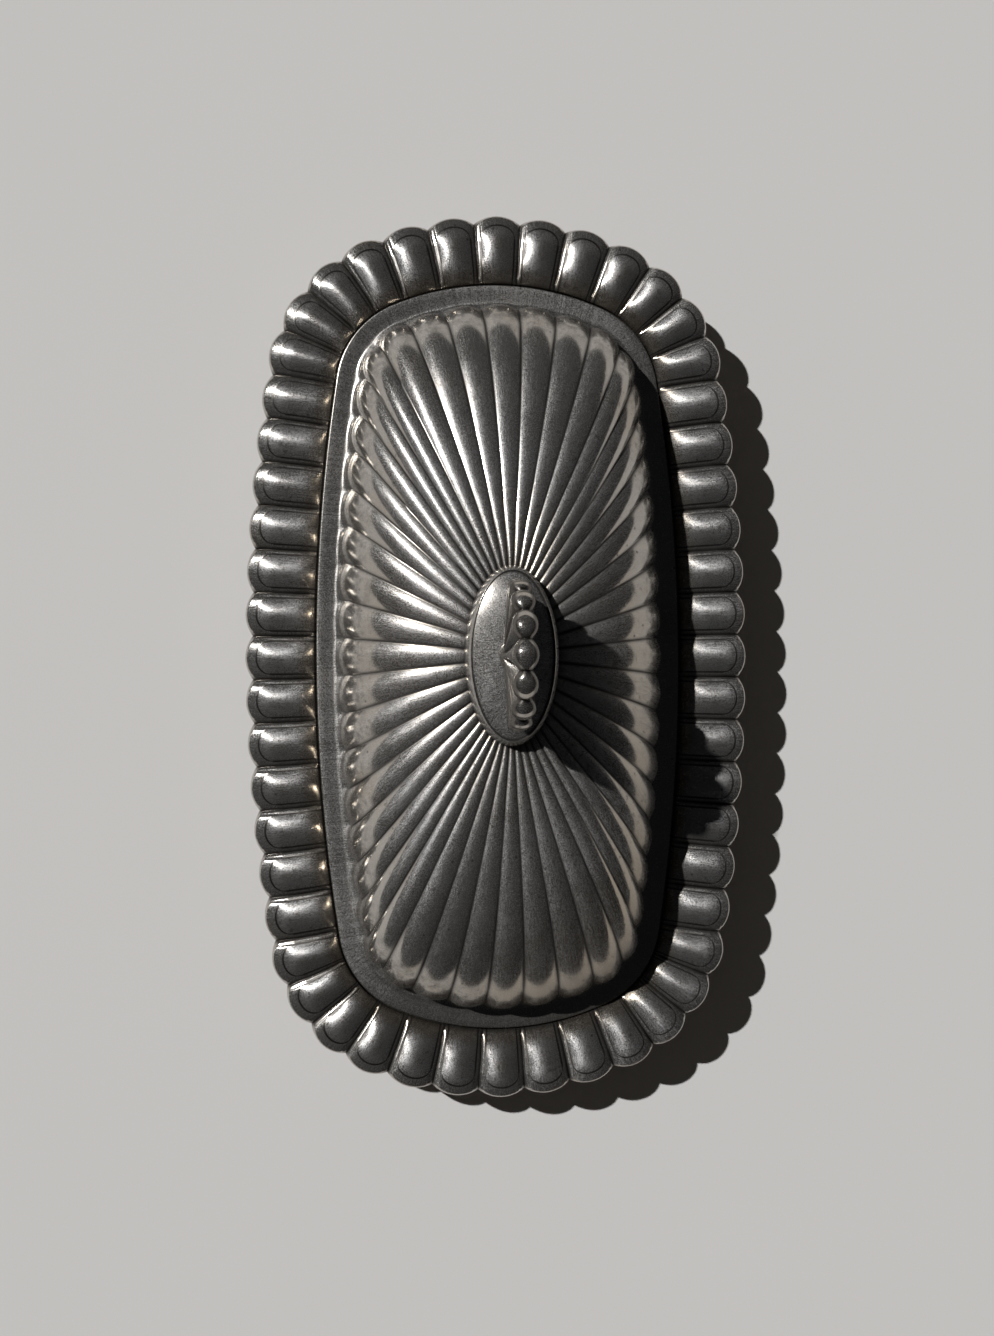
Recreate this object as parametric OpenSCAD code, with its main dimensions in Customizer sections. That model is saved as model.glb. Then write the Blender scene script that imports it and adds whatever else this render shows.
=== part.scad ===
// Shell-shaped butter dish: a lobed oblong tray, a loose glass liner, and a fluted domed lid with an
// oval boss and an upright scallop-shell finial, held by a stud, a washer and a nut inside the lid.
// Millimetres. The dish stands on z = 0, centred on the origin, with its length along Y.

/* [Tray] */
// Length of the tray over its lobes
tray_l = 209.6; // [198:0.4:230]
// Width of the tray over its lobes
tray_w = 119.6; // [112.8:0.4:128]
// Radius of the bowed long sides
side_r = 446; // [390:1:570]
// Radius of the bowed ends
end_r = 80; // [73:1:88]
// Radius of the corners
corner_r = 38.8; // [36.8:0.2:42.8]
// Lobes along each long side
side_lobes = 13; // [9:2:17]
// Lobes round each end
end_lobes = 13; // [9:2:17]
// How far the lobes along a side are drawn towards its middle, which leaves those round the ends wider
lobe_draw = 2; // [0:0.1:3]
// Width of the lobed rim, from the lobes' tips to the lid's seat
rim_w = 16.2; // [14.8:0.1:17.4]
// Height of the lobes' crest above the table
rim_h = 18.8; // [17.8:0.1:20.4]
// Distance of the crest from the lobes' tips
crest_in = 8.1; // [7.7:0.1:9.6]
// Height of the lower band that runs round each raised finger
band_h = 17.4; // [16.8:0.1:17.7]
// Width of the band at a lobe's tip
band_w = 2.7; // [2.1:0.1:3.1]
// Share of a lobe's width that its raised finger takes up
finger_share = 0.78; // [0.7:0.01:0.86]
// Depth of a finger's round outer end
finger_end = 3.5; // [2.7:0.1:3.7]
// Rounding from a finger's outer end to its top
finger_round = 1; // [0.6:0.1:1.3]
// Height of the fingers' inner ends
inner_h = 16.1; // [15.8:0.1:16.6]
// Depth of the notch between neighbouring bands
notch = 0.5; // [0.2:0.1:0.7]
// How far the notches between lobes cut in from their tips
scallop = 1.7; // [1.1:0.1:2.1]
// Height of the turned-down lip's lower edge
lip_h = 12.9; // [11.7:0.1:13.7]
// Rounding of the rim's edges
edge_round = 0.6; // [0.4:0.1:0.9]
// Height of the seat that carries the lid
seat_h = 15.1; // [14.3:0.1:15.3]
// Draw of the well's wall, from its top to its floor
well_draw = 1; // [0.5:0.1:1.5]
// Fillet round the well's floor
well_fillet = 1.2; // [0.6:0.1:1.8]
// Thickness of the sheet metal of the tray and the lid
metal_t = 1.2; // [0.8:0.1:1.5]

/* [Liner] */
// Gap between the liner and the well's wall
liner_fit = 1.5; // [0.8:0.1:2]
// Thickness of the glass
liner_t = 2.2; // [1.8:0.1:3.5]
// Draw of the liner's walls, from its rim to its foot
liner_draw = 0.8; // [0.4:0.1:1.2]
// How far the liner's rim lies below the lid's seat
liner_drop = 3.5; // [3.3:0.1:4.5]
// Rounding of the liner's rim
liner_round = 0.5; // [0.3:0.1:0.9]
// Fillet round the liner's floor, inside
liner_fillet = 1.6; // [1:0.1:2.4]
// Bevel round the liner's foot, outside
liner_bevel = 1.2; // [1:0.1:1.8]

/* [Lid] */
// Gap between the lid's flange and the rim's lobes
lid_gap = 0.4; // [0.3:0.1:0.8]
// Width of the flange, with the cove
flange_w = 5.3; // [4.5:0.1:6.5]
// Radius of the cove where the flange meets the wall
cove = 1.6; // [1.2:0.1:1.9]
// Height of the upright part of the wall above the flange
wall_h = 2.1; // [2:0.1:4.5]
// Height of the flat crown above the seat
crown_h = 30.1; // [27:0.1:35]
// Fullness of the vault, where 2 is an ellipse
vault_power = 2.4; // [2:0.1:2.8]
// Flutes along each long side
side_flutes = 15; // [11:2:19]
// Flutes round each end
end_flutes = 9; // [7:2:13]
// Depth of the grooves between flutes at the wall
flute_depth = 1.2; // [0.7:0.1:1.5]
// Depth of the grooves between flutes at the crown
crown_depth = 0.3; // [0.1:0.02:0.4]
// Power with which the grooves deepen towards the wall
flute_power = 2.2; // [1:0.1:3]
// Room that the liner keeps inside the lid when it is lifted
lift_room = 0.5; // [0.4:0.1:1]

/* [Finial] */
// Length of the oval boss
boss_l = 39.6; // [35:0.2:45]
// Width of the oval boss
boss_w = 20.8; // [18.6:0.2:25]
// Height of the boss
boss_h = 5.6; // [4.6:0.1:7]
// Height of the ring round the boss
ring_h = 4; // [3.2:0.1:4.6]
// Width of the ring's top
ring_w = 0.4; // [0.3:0.1:0.7]
// Slope of the ring's outer side
ring_flare = 1.1; // [0.7:0.1:1.5]
// Step from the ring's top down to the foot of the dome
ring_step = 0.2; // [0.1:0.05:0.4]
// How far the boss's edge laps over the start of the flutes
boss_lap = 0.6; // [0.3:0.1:1]
// Ribs of the shell
ribs = 11; // [9:2:13]
// Width of the shell
shell_w = 32.2; // [29:0.2:36]
// Height of the shell above the boss
shell_h = 25.8; // [23:0.2:28]
// Thickness of the shell over its middle rib
shell_t = 5.3; // [4.6:0.1:6.4]
// Thickness of the shell over its end ribs
shell_end_t = 3.5; // [2.8:0.1:4.2]
// Share of the thickness that the grooves between ribs take away
rib_groove = 0.5; // [0.3:0.02:0.56]
// How far the notches between ribs cut in from their tips
rib_scallop = 1.2; // [0.8:0.1:1.9]
// Diameter of the shell's round foot
foot_d = 6.8; // [6:0.1:7.4]
// Height of the round foot
foot_h = 0.6; // [0.5:0.1:1]
// Diameter at the top of the knuckle where the ribs meet
knuckle_d = 4.1; // [3.8:0.1:4.6]
// Height of the knuckle above the foot
knuckle_h = 4.7; // [4.2:0.1:5.4]
// Diameter of the stud
stud_d = 3; // [2.4:0.1:3.1]
// How far the stud reaches into the shell
stud_in = 3.8; // [3:0.1:4.2]
// Clearance round the stud where it passes through the boss, the lid and the washer
stud_gap = 0.2; // [0.1:0.05:0.4]
// Bevel on the stud's lower end
stud_bevel = 0.4; // [0.2:0.1:0.6]
// Length of stud below the nut
stud_out = 1.5; // [0.8:0.1:3]
// Diameter of the washer
washer_d = 9; // [8:0.1:11]
// Thickness of the washer
washer_t = 0.8; // [0.5:0.1:1.2]
// Width of the nut across its flats
nut_w = 5.5; // [5:0.1:7]
// Height of the nut
nut_h = 2.4; // [1.8:0.1:3.5]

/* [Hidden] */
$fn = 32;

// Colours
silver = [0.46, 0.46, 0.47];
dark_silver = [0.38, 0.38, 0.39];
glass = [0.80, 0.88, 0.88];
brass = [0.70, 0.58, 0.32];

// The rim's outline: a quarter is a side arc, a corner arc and an end arc, each tangent to the next
side_c = tray_w / 2 - side_r;
end_c = tray_l / 2 - end_r;
side_reach = side_r - corner_r;
end_reach = end_r - corner_r;
span_c = norm([side_c, end_c]);
side_turn = acos((side_reach ^ 2 + span_c ^ 2 - end_reach ^ 2) / (2 * side_reach * span_c));
side_a = atan2(end_c, -side_c) + side_turn;
corner_c = [side_c, 0] + side_reach * [cos(side_a), sin(side_a)];
end_a = atan2(corner_c.x, corner_c.y - end_c);
corner_a = 90 - side_a - end_a;
side_len = side_r * side_a * PI / 180;
corner_len = corner_r * corner_a * PI / 180;
end_len = end_r * end_a * PI / 180;

// How far each wall stands in from the lobes' tips
flange_in = rim_w + lid_gap;
wall_in = flange_in + flange_w;
lid_inside = wall_in + flute_depth + metal_t;
liner_in = lid_inside + lift_room;
well_in = liner_in - liner_fit;
slope_in = (crest_in + rim_w) / 2;

// Heights above the table
floor_h = metal_t;
edge_h = mix(lip_h, band_h, 0.6);
slope_h = mix(inner_h, rim_h, 0.75);
shoulder_h = mix(band_h, rim_h, 0.72);
flange_h = seat_h + metal_t;
spring_h = flange_h + wall_h;
crown_z = seat_h + crown_h;
washer_z = crown_z - metal_t - washer_t;
nut_z = washer_z - nut_h;
boss_top = crown_z + boss_h;
hinge_z = boss_top + foot_h;
liner_rim = seat_h - liner_drop;

// The vault starts at an oval just inside the boss's edge, a share of the way out from the middle
crown_share = 0.26;
vault_h = (crown_z - spring_h) / sqrt(1 - crown_share ^ vault_power);
oval_w = boss_w / 2 - boss_lap;
oval_l = boss_l / 2 - boss_lap;
hole_r = stud_d / 2 + stud_gap;

function ray(a) = [cos(a), sin(a)];

function unit(v) = v / norm(v);

function mix(a, b, t) = a + (b - a) * t;

// Root that takes a rounding error below zero as zero
function root(x) = sqrt(max(0, x));

// Point at length s along the first quarter, from the middle of the long side, set in by inset
function quarter(s, inset) =
    s < side_len ? [side_c, 0] + (side_r - inset) * ray(s / side_len * side_a)
    : s < side_len + corner_len
        ? corner_c + (corner_r - inset) * ray(side_a + (s - side_len) / corner_len * corner_a)
    : [0, end_c] + (end_r - inset) * ray(90 - end_a + (s - side_len - corner_len) / end_len * end_a);

// Length along a quarter to lobe k, with side_n lobes on a whole side, drawn towards its middle, and end_n
// round a whole end, evenly spaced along the outline at the inset "even"
function way(k, side_n, end_n, draw, even) =
    let (corner_s = 1 - even / corner_r, end_s = 1 - even / end_r)
    let (bend = corner_len * corner_s, turn = end_len * end_s)
    let (run = (k - side_n / 2) / (end_n / 2) * (draw + bend + turn))
    k < side_n / 2 ? k / (side_n / 2) * (side_len - draw)
    : side_len - draw + min(run, draw) + min(max(run - draw, 0), bend) / corner_s
        + max(run - draw - bend, 0) / end_s;

// Point of the outline at lobe f, counted anticlockwise from the middle of the +X side
function rim_point(f, inset, side_n, end_n, draw = 0, even = 0) =
    let (per = (side_n + end_n) / 2)
    let (g = (f + 4 * per) % (4 * per))
    let (j = floor(g / per))
    let (k = j % 2 == 0 ? g - j * per : (j + 1) * per - g)
    let (p = quarter(way(k, side_n, end_n, draw, even), inset))
    [j == 0 || j == 3 ? p.x : -p.x, j < 2 ? p.y : -p.y];

// Triangles between two rings that start at points ia and ib, one count a multiple of the other
function stitch(ia, na, ib, nb) = na <= nb ? weave(ia, na, ib, nb, false) : weave(ib, nb, ia, na, true);

function weave(ia, na, ib, nb, turned) =
    let (m = nb / na, half = ceil(m / 2))
    [for (k = [0 : na - 1])
        let (a = [ia + k, ia + (k + 1) % na], b = [for (q = [0 : m]) ib + (k * m + q) % nb])
        each [for (t = concat([[a[0], a[1], b[half]]],
                              [for (q = [0 : m - 1]) [a[q < half ? 0 : 1], b[q + 1], b[q]]]))
            turned ? [t[2], t[1], t[0]] : t]];

// Triangles that close a ring of n points, as a strip from its first point to its middle
function strip(start, n, turned) =
    [for (i = [0 : n / 2 - 2], t = [[i, n - 1 - i, i + 1], [i + 1, n - 1 - i, n - 2 - i]])
        [for (q = turned ? [2, 1, 0] : [0, 1, 2]) start + t[q]]];

// Solid whose skin runs through the rings in turn, closed at both ends or looped from last to first
module skin(rings, looped = false) {
    counts = [for (r = rings) len(r)];
    starts = [for (i = 0, s = 0; i < len(rings); s = s + counts[i], i = i + 1) s];
    last = len(rings) - 1;
    walls = [for (i = [0 : looped ? last : last - 1])
        let (j = (i + 1) % len(rings))
        each stitch(starts[i], counts[i], starts[j], counts[j])];
    ends = looped ? [] : concat(strip(0, counts[0], false), strip(starts[last], counts[last], true));
    polyhedron([for (r = rings) each r], concat(walls, ends));
}

// The tray's lobes. Each is an arched finger with a round outer end, on a lower band that runs round it

// Places across a lobe, from -1 at a notch through 0 at the crest
full = [-1, -finger_share, -finger_share / 2, 0, finger_share / 2, finger_share];
pair = [-1, 0];
plain = [-1];

// Ring round the tray through the given places across each lobe
function lobe_ring(places, inset, height) =
    [for (i = [0 : 2 * (side_lobes + end_lobes) - 1], w = places)
        let (p = rim_point(i + w / 2, inset(w), side_lobes, end_lobes, lobe_draw))
        [p.x, p.y, height(w)]];

// Ring round the tray at one inset and one height
function plain_ring(inset, z, places = plain) = lobe_ring(places, function (w) inset, function (w) z);

// Edge of the scalloped rim
function edge_in(w) = scallop * w ^ 2;

// Foot of a finger: round at its end, then straight along its side
function finger_in(w) = band_w + finger_end * (1 - root(1 - (w / finger_share) ^ 2));

// Height across a lobe: the finger's arch from crest to side, then the band's fall to the notch
function lobe_h(w, crest, side) =
    abs(w) < finger_share ? mix(side, crest, root(1 - (w / finger_share) ^ 2))
    : mix(side, side - notch, (abs(w) - finger_share) / (1 - finger_share));

module tray() {
    color(silver)
        skin([
            // The well, from its floor up to the seat
            plain_ring(well_in + well_draw + well_fillet, floor_h),
            plain_ring(well_in + well_draw, floor_h + well_fillet),
            plain_ring(well_in, seat_h - edge_round),
            plain_ring(well_in - edge_round, seat_h),
            // The lobes, from the seat out to the lip
            plain_ring(rim_w, seat_h, pair),
            lobe_ring(full, function (w) rim_w - edge_round / 2, function (w) lobe_h(w, inner_h, inner_h)),
            lobe_ring(full, function (w) slope_in, function (w) lobe_h(w, slope_h, band_h)),
            lobe_ring(full, function (w) crest_in, function (w) lobe_h(w, rim_h, band_h)),
            lobe_ring(full, function (w) finger_in(w) + finger_round,
                function (w) lobe_h(w, shoulder_h, band_h)),
            lobe_ring(full, function (w) finger_in(w), function (w) lobe_h(w, band_h, band_h)),
            lobe_ring(full, function (w) edge_in(w) + edge_round, function (w) lobe_h(w, band_h, band_h)),
            lobe_ring(full, function (w) edge_in(w), function (w) edge_h),
            lobe_ring(full, function (w) edge_in(w) + edge_round / 2, function (w) lip_h),
            // The underside, from the lip in to the foot
            lobe_ring(pair, function (w) edge_in(w) + edge_round / 2 + metal_t, function (w) lip_h),
            lobe_ring(pair, function (w) finger_in(w) + metal_t / 2,
                function (w) lobe_h(w, band_h, band_h) - metal_t),
            lobe_ring(pair, function (w) crest_in, function (w) lobe_h(w, rim_h, band_h) - metal_t),
            lobe_ring(pair, function (w) slope_in, function (w) lobe_h(w, slope_h, band_h) - metal_t),
            plain_ring(rim_w, seat_h - metal_t),
            plain_ring(well_in - metal_t, seat_h - metal_t),
            plain_ring(well_in + well_draw - metal_t, well_fillet),
            plain_ring(well_in + well_draw, 0)
        ]);
}

module liner() {
    foot_in = liner_in + liner_draw;
    inside = liner_in + liner_t;
    color(glass)
        skin([
            plain_ring(inside + liner_draw + liner_fillet, floor_h + liner_t),
            plain_ring(inside + liner_draw, floor_h + liner_t + liner_fillet),
            plain_ring(inside, liner_rim - liner_round),
            plain_ring(inside - liner_round, liner_rim),
            plain_ring(liner_in + liner_round, liner_rim),
            plain_ring(liner_in, liner_rim - liner_round),
            plain_ring(foot_in, floor_h + liner_bevel),
            plain_ring(foot_in + liner_bevel, floor_h)
        ]);
}

// The lid's flutes run from an oval under the boss to the wall

flutes = 2 * (side_flutes + end_flutes);

// Place across a flute at step i of m, from -1 at one groove through 0 at the crest
function across(i, m) = 2 * (i / m - floor(i / m)) - 1;

// Point of the oval at flute f. The flutes lie closer together at its ends than along its sides
function oval_point(f) =
    let (a = f / flutes * 360)
    let (turned = a + 5 * sin(2 * a))
    [oval_w * cos(turned), oval_l * sin(turned)];

// Point at flute f inside the outline. The flutes are evenly spaced along the wall
function flute_point(f, inset) = rim_point(f, inset, side_flutes, end_flutes, even = wall_in);

// Point of the vault at flute f, t of the way from the oval to the wall, sunk by depth into the metal
function vault_point(f, t, depth) =
    let (b = flute_point(f, wall_in), out = unit(flute_point(f, 0) - b))
    let (o = oval_point(f))
    let (r = mix(crown_share, 1, t), fall = root(1 - r ^ vault_power))
    let (run = (b - o) * out / (1 - crown_share))
    let (n = unit([vault_h * vault_power / 2 * r ^ (vault_power - 1), run * fall]))
    let (p = mix(o, b, t) - depth * n.x * out)
    [p.x, p.y, spring_h + vault_h * fall - depth * n.y];

// Ring of the vault with m points to a flute, under a skin of the given thickness
function vault_ring(m, t, under) =
    [for (i = [0 : flutes * m - 1])
        let (groove = mix(crown_depth, flute_depth, t ^ flute_power) * across(i, m) ^ 2)
        vault_point(i / m - 0.5, t, groove + under)];

// Ring with the plan of the vault's wall, at height z
function wall_ring(m, under, z) = [for (p = vault_ring(m, 1, under)) [p.x, p.y, z]];

// Ring round the flange
function flange_ring(m, inset, z) =
    [for (i = [0 : flutes * m - 1])
        let (p = flute_point(i / m - 0.5, inset))
        [p.x, p.y, z]];

// Oval edge of the flat crown, and the hole through its middle
function crown_ring(z) = [for (i = [0 : flutes - 1]) let (p = oval_point(i - 0.5)) [p.x, p.y, z]];

function hole_ring(z) =
    [for (i = [0 : flutes - 1]) let (p = hole_r * unit(oval_point(i - 0.5))) [p.x, p.y, z]];

module lid() {
    outer_rows = 7;
    inner_rows = 4;
    bend = cove * (1 - cos(45));
    color(dark_silver)
        skin(concat(
            [hole_ring(crown_z), crown_ring(crown_z)],
            [for (j = [1 : outer_rows]) vault_ring(4, sin(90 * j / outer_rows), 0)],
            [wall_ring(4, 0, flange_h + cove),
             flange_ring(2, wall_in - bend, flange_h + bend),
             flange_ring(2, wall_in - cove, flange_h),
             flange_ring(2, flange_in, flange_h),
             flange_ring(2, flange_in, seat_h),
             wall_ring(2, metal_t, seat_h)],
            [for (j = [inner_rows : -1 : 1]) vault_ring(2, sin(90 * j / inner_rows), metal_t)],
            [crown_ring(crown_z - metal_t), hole_ring(crown_z - metal_t)]
        ), looped = true);
}

// The boss: a steep side up to a narrow ring, and in it a dome with a flat pad under the shell

boss_steps = 36;

function boss_ring(inset, z) =
    [for (i = [0 : boss_steps - 1])
        let (a = 360 * i / boss_steps)
        [(boss_w / 2 - inset) * cos(a), (boss_l / 2 - inset) * sin(a), crown_z + z]];

function boss_hole(z) =
    [for (i = [0 : boss_steps - 1]) let (p = hole_r * ray(360 * i / boss_steps)) [p.x, p.y, crown_z + z]];

module finial_boss() {
    pad_share = 0.42;
    dome_power = 1.8;
    dome_rows = 4;
    dome_in = ring_flare + ring_w;
    dome_low = ring_h - ring_step;
    color(silver)
        skin(concat(
            [boss_hole(boss_h)],
            [for (j = [0 : dome_rows])
                let (q = mix(pad_share, 1, j / dome_rows))
                let (rise = (1 - q ^ dome_power) / (1 - pad_share ^ dome_power))
                boss_ring(mix(boss_w / 2, dome_in, q), mix(dome_low, boss_h, rise))],
            [boss_ring(dome_in, ring_h), boss_ring(ring_flare, ring_h), boss_ring(0, ring_step),
             boss_ring(boss_lap, 0), boss_hole(0)]
        ), looped = true);
}

// The shell: ribs fan out from a knuckle, thick over each rib and thin in the grooves between

fan_a = 88;
round_share = 0.92;
rib_steps = 4;
fan_steps = ribs * rib_steps;

// Reach of the fan at an angle from upright, before its scallops: to a circle whose middle is over the hinge
function fan_reach(a) =
    let (round_r = shell_w / 2, rise = shell_h - foot_h - round_r)
    rise * cos(a) + root(round_r ^ 2 - (rise * sin(a)) ^ 2);

// Half thickness over a rib, at an angle and a share of the reach: even, then rounded off at the edge
function fan_half(a, share) =
    let (body = mix(shell_t, shell_end_t, (a / 90) ^ 2) / 2)
    let (late = max(0, share - round_share) / (1 - round_share))
    body * mix(0.25, 1, root(1 - late ^ 2));

// Loop round the fan at a share of its reach: along one face, and back along the other
function fan_loop(share) =
    let (face = [for (i = [0 : fan_steps])
        let (a = mix(-fan_a, fan_a, i / fan_steps), w = across(i, rib_steps))
        let (r = share * (fan_reach(a) - rib_scallop * share * w ^ 2))
        [-fan_half(a, share) * (1 - rib_groove * w ^ 2), r * sin(a), hinge_z + r * cos(a)]])
    concat(face, [for (i = [fan_steps : -1 : 0]) [-face[i].x, face[i].y, face[i].z]]);

module shell_finial() {
    shares = concat([0.1, 0.4], [for (t = [0, 0.45, 0.8, 1]) mix(round_share, 1, t)]);
    color(silver)
        difference() {
            union() {
                skin([for (share = shares) fan_loop(share)]);
                translate([0, 0, boss_top])
                    cylinder(d = foot_d, h = foot_h);
                translate([0, 0, hinge_z])
                    cylinder(d1 = foot_d, d2 = knuckle_d, h = knuckle_h);
            }
            translate([0, 0, boss_top - stud_in])
                cylinder(d = stud_d, h = 2 * stud_in);
        }
}

module finial_stud() {
    low = nut_z - stud_out;
    color(brass) {
        translate([0, 0, low])
            cylinder(d1 = stud_d - 2 * stud_bevel, d2 = stud_d, h = stud_bevel);
        translate([0, 0, low + stud_bevel])
            cylinder(d = stud_d, h = boss_top + stud_in - low - stud_bevel);
    }
}

module finial_washer() {
    color(brass)
        translate([0, 0, washer_z])
            difference() {
                cylinder(d = washer_d, h = washer_t);
                translate([0, 0, -washer_t])
                    cylinder(r = hole_r, h = 3 * washer_t);
            }
}

module finial_nut() {
    color(brass)
        translate([0, 0, nut_z])
            difference() {
                cylinder(d = nut_w / cos(30), h = nut_h, $fn = 6);
                translate([0, 0, -nut_h])
                    cylinder(d = stud_d, h = 3 * nut_h);
            }
}

tray();
liner();
lid();
finial_boss();
shell_finial();
finial_stud();
finial_washer();
finial_nut();
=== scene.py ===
"""Dresses the shell-shaped butter dish: a lobed tray, a glass liner, and a fluted lid with an oval boss,
an upright scallop shell and the fasteners that hold it. Each surface is worked out with numpy, in metres."""

import math
from collections import namedtuple
from functools import reduce

import bmesh
import bpy
import numpy as np
from bpy.props import FloatProperty, FloatVectorProperty, IntProperty, PointerProperty
from mathutils import Matrix, Vector


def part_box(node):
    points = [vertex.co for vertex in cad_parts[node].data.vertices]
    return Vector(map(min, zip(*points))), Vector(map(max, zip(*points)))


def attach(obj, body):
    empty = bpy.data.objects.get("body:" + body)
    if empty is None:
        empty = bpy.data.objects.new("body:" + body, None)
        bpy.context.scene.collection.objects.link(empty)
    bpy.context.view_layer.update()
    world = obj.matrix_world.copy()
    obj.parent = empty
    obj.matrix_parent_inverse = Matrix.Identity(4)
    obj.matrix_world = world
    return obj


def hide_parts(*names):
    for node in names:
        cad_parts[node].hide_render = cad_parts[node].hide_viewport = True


bl_info = {
    "name": "Shell Butter Dish",
    "version": (1, 0, 0),
    "blender": (4, 5, 0),
    "location": "View3D > Sidebar > Butter Dish",
    "description": "Builds a lobed butter dish with a fluted lid and a scallop-shell finial",
    "category": "Object",
}

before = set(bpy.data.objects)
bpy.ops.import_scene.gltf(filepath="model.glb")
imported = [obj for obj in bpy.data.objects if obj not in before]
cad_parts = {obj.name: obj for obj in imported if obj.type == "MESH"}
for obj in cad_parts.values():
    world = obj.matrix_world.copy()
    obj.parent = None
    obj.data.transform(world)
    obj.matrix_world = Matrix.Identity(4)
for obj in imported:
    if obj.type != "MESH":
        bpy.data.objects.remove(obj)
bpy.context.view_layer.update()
MM = 0.001

TRAY_LOW, TRAY_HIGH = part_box("tray")
LINER_LOW, LINER_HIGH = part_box("liner")
LID_LOW, LID_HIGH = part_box("lid")
BOSS_LOW, BOSS_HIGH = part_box("finial_boss")
SHELL_LOW, SHELL_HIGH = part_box("shell_finial")
STUD_LOW, STUD_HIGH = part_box("finial_stud")
WASHER_LOW, WASHER_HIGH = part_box("finial_washer")
NUT_LOW, NUT_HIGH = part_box("finial_nut")


# Sizes and colours that a user may change


def length(label, about, default):
    """A property for a length in metres."""
    return FloatProperty(name=label, description=about, default=default, unit="LENGTH", precision=5)


def share(label, about, default):
    """A property for a plain number or a share."""
    return FloatProperty(name=label, description=about, default=default, precision=3)


def colour(label, about, default):
    """A property for a colour in linear light."""
    return FloatVectorProperty(name=label, description=about, default=default, subtype="COLOR", min=0, max=1)


class DishPlanSizes(bpy.types.PropertyGroup):
    """The oblong that the tray and the lid share."""

    length: length("Length", "Length over the lobes", TRAY_HIGH.y - TRAY_LOW.y)
    width: length("Width", "Width over the lobes", TRAY_HIGH.x - TRAY_LOW.x)
    side_radius: length("Side radius", "Radius of the bowed long sides", 446 * MM)
    end_radius: length("End radius", "Radius of the bowed ends", 80 * MM)
    corner_radius: length("Corner radius", "Radius of the corners", 38.8 * MM)
    metal: length("Metal", "Thickness of the sheet metal", 1.2 * MM)


class TraySizes(bpy.types.PropertyGroup):
    """The tray's lobes, seat and well."""

    side_lobes: IntProperty(name="Side lobes", description="Lobes along each long side", default=13)
    end_lobes: IntProperty(name="End lobes", description="Lobes round each end", default=13)
    lobe_draw: length("Lobe draw", "How far a side's lobes are drawn towards its middle", 2 * MM)
    rim_width: length("Rim width", "From the lobes' tips to the lid's seat", 16.2 * MM)
    crest_height: length("Crest height", "Height of the fingers' crest", TRAY_HIGH.z)
    crest_inset: length("Crest inset", "Distance of the crest from the lobes' tips", 8.1 * MM)
    band_height: length("Band height", "Height of the band round each finger", 17.4 * MM)
    band_width: length("Band width", "Width of the band at a lobe's tip", 2.7 * MM)
    band_drop: length("Band drop", "Fall of the rounded band to the rim's edge", 2.6 * MM)
    finger_share: share("Finger share", "Share of a lobe's width that its finger takes up", 0.78)
    finger_end: length("Finger end", "Depth of a finger's round outer end", 3.5 * MM)
    fullness: share("Fullness", "Power of a finger's outline, where 2 is an ellipse", 2.1)
    arch: share("Arch", "Power of a finger's section, where 2 is a parabola", 1.7)
    end_sag: length("End sag", "Fall of the crest towards a finger's outer end", 0.65 * MM)
    inner_height: length("Inner height", "Height of the fingers' inner ends", 16.1 * MM)
    notch: length("Notch", "Depth of the groove between neighbouring bands", 0.55 * MM)
    scallop: length("Scallop", "How far the notches cut in from the tips", 1.7 * MM)
    lip_height: length("Lip height", "Height of the turned-down lip's edge", 12.9 * MM)
    edge_round: length("Edge rounding", "Rounding of the rim's edges", 0.6 * MM)
    seat_height: length("Seat height", "Height of the seat that carries the lid", LID_LOW.z)
    well_inset: length("Well inset", "Distance of the well's wall from the tips", 23.3 * MM)
    well_draw: length("Well draw", "Slope of the well's wall, top to bottom", 1.0 * MM)
    well_fillet: length("Well fillet", "Fillet round the well's floor", 1.2 * MM)


class LinerSizes(bpy.types.PropertyGroup):
    """The loose glass trough."""

    inset: length("Inset", "Distance of the liner's rim from the lobes' tips", 24.8 * MM)
    glass: length("Glass", "Thickness of the glass", 2.2 * MM)
    draw: length("Draw", "Slope of the walls, rim to foot", 0.8 * MM)
    rim_round: length("Rim rounding", "Rounding of the rim", 0.9 * MM)
    fillet: length("Fillet", "Fillet round the floor, inside", 1.6 * MM)
    bevel: length("Bevel", "Rounding of the foot, outside", 1.2 * MM)


class LidSizes(bpy.types.PropertyGroup):
    """The lid's flange, wall and fluted vault."""

    side_flutes: IntProperty(name="Side flutes", description="Flutes along each long side", default=15)
    end_flutes: IntProperty(name="End flutes", description="Flutes round each end", default=9)
    flange_inset: length("Flange inset", "Distance of the flange's edge from the tray's tips", 16.6 * MM)
    flange_width: length("Flange width", "Width of the flange, with the cove", 5.3 * MM)
    flange_edge: length("Flange edge", "Rounding of the flange's edge", 0.35 * MM)
    cove: length("Cove", "Radius where the flange meets the wall", 1.6 * MM)
    wall_height: length("Wall height", "Height of the upright wall above the flange", 2.1 * MM)
    vault_power: share("Vault fullness", "Power of the vault's curve, where 2 is an ellipse", 2.4)
    crown_share: share("Crown share", "Share of the way out at which the vault starts", 0.26)
    flute_depth: length("Flute depth", "Depth of the grooves at the wall", 1.2 * MM)
    crown_depth: length("Crown depth", "Depth of the grooves at the crown", 0.32 * MM)
    flute_power: share("Flute power", "Power with which the grooves deepen towards the wall", 2.2)
    boss_lap: length("Boss lap", "How far the boss laps over the flutes", 0.6 * MM)
    channel: length("Channel", "Depth of the sunk line round the boss", 0.35 * MM)


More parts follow.
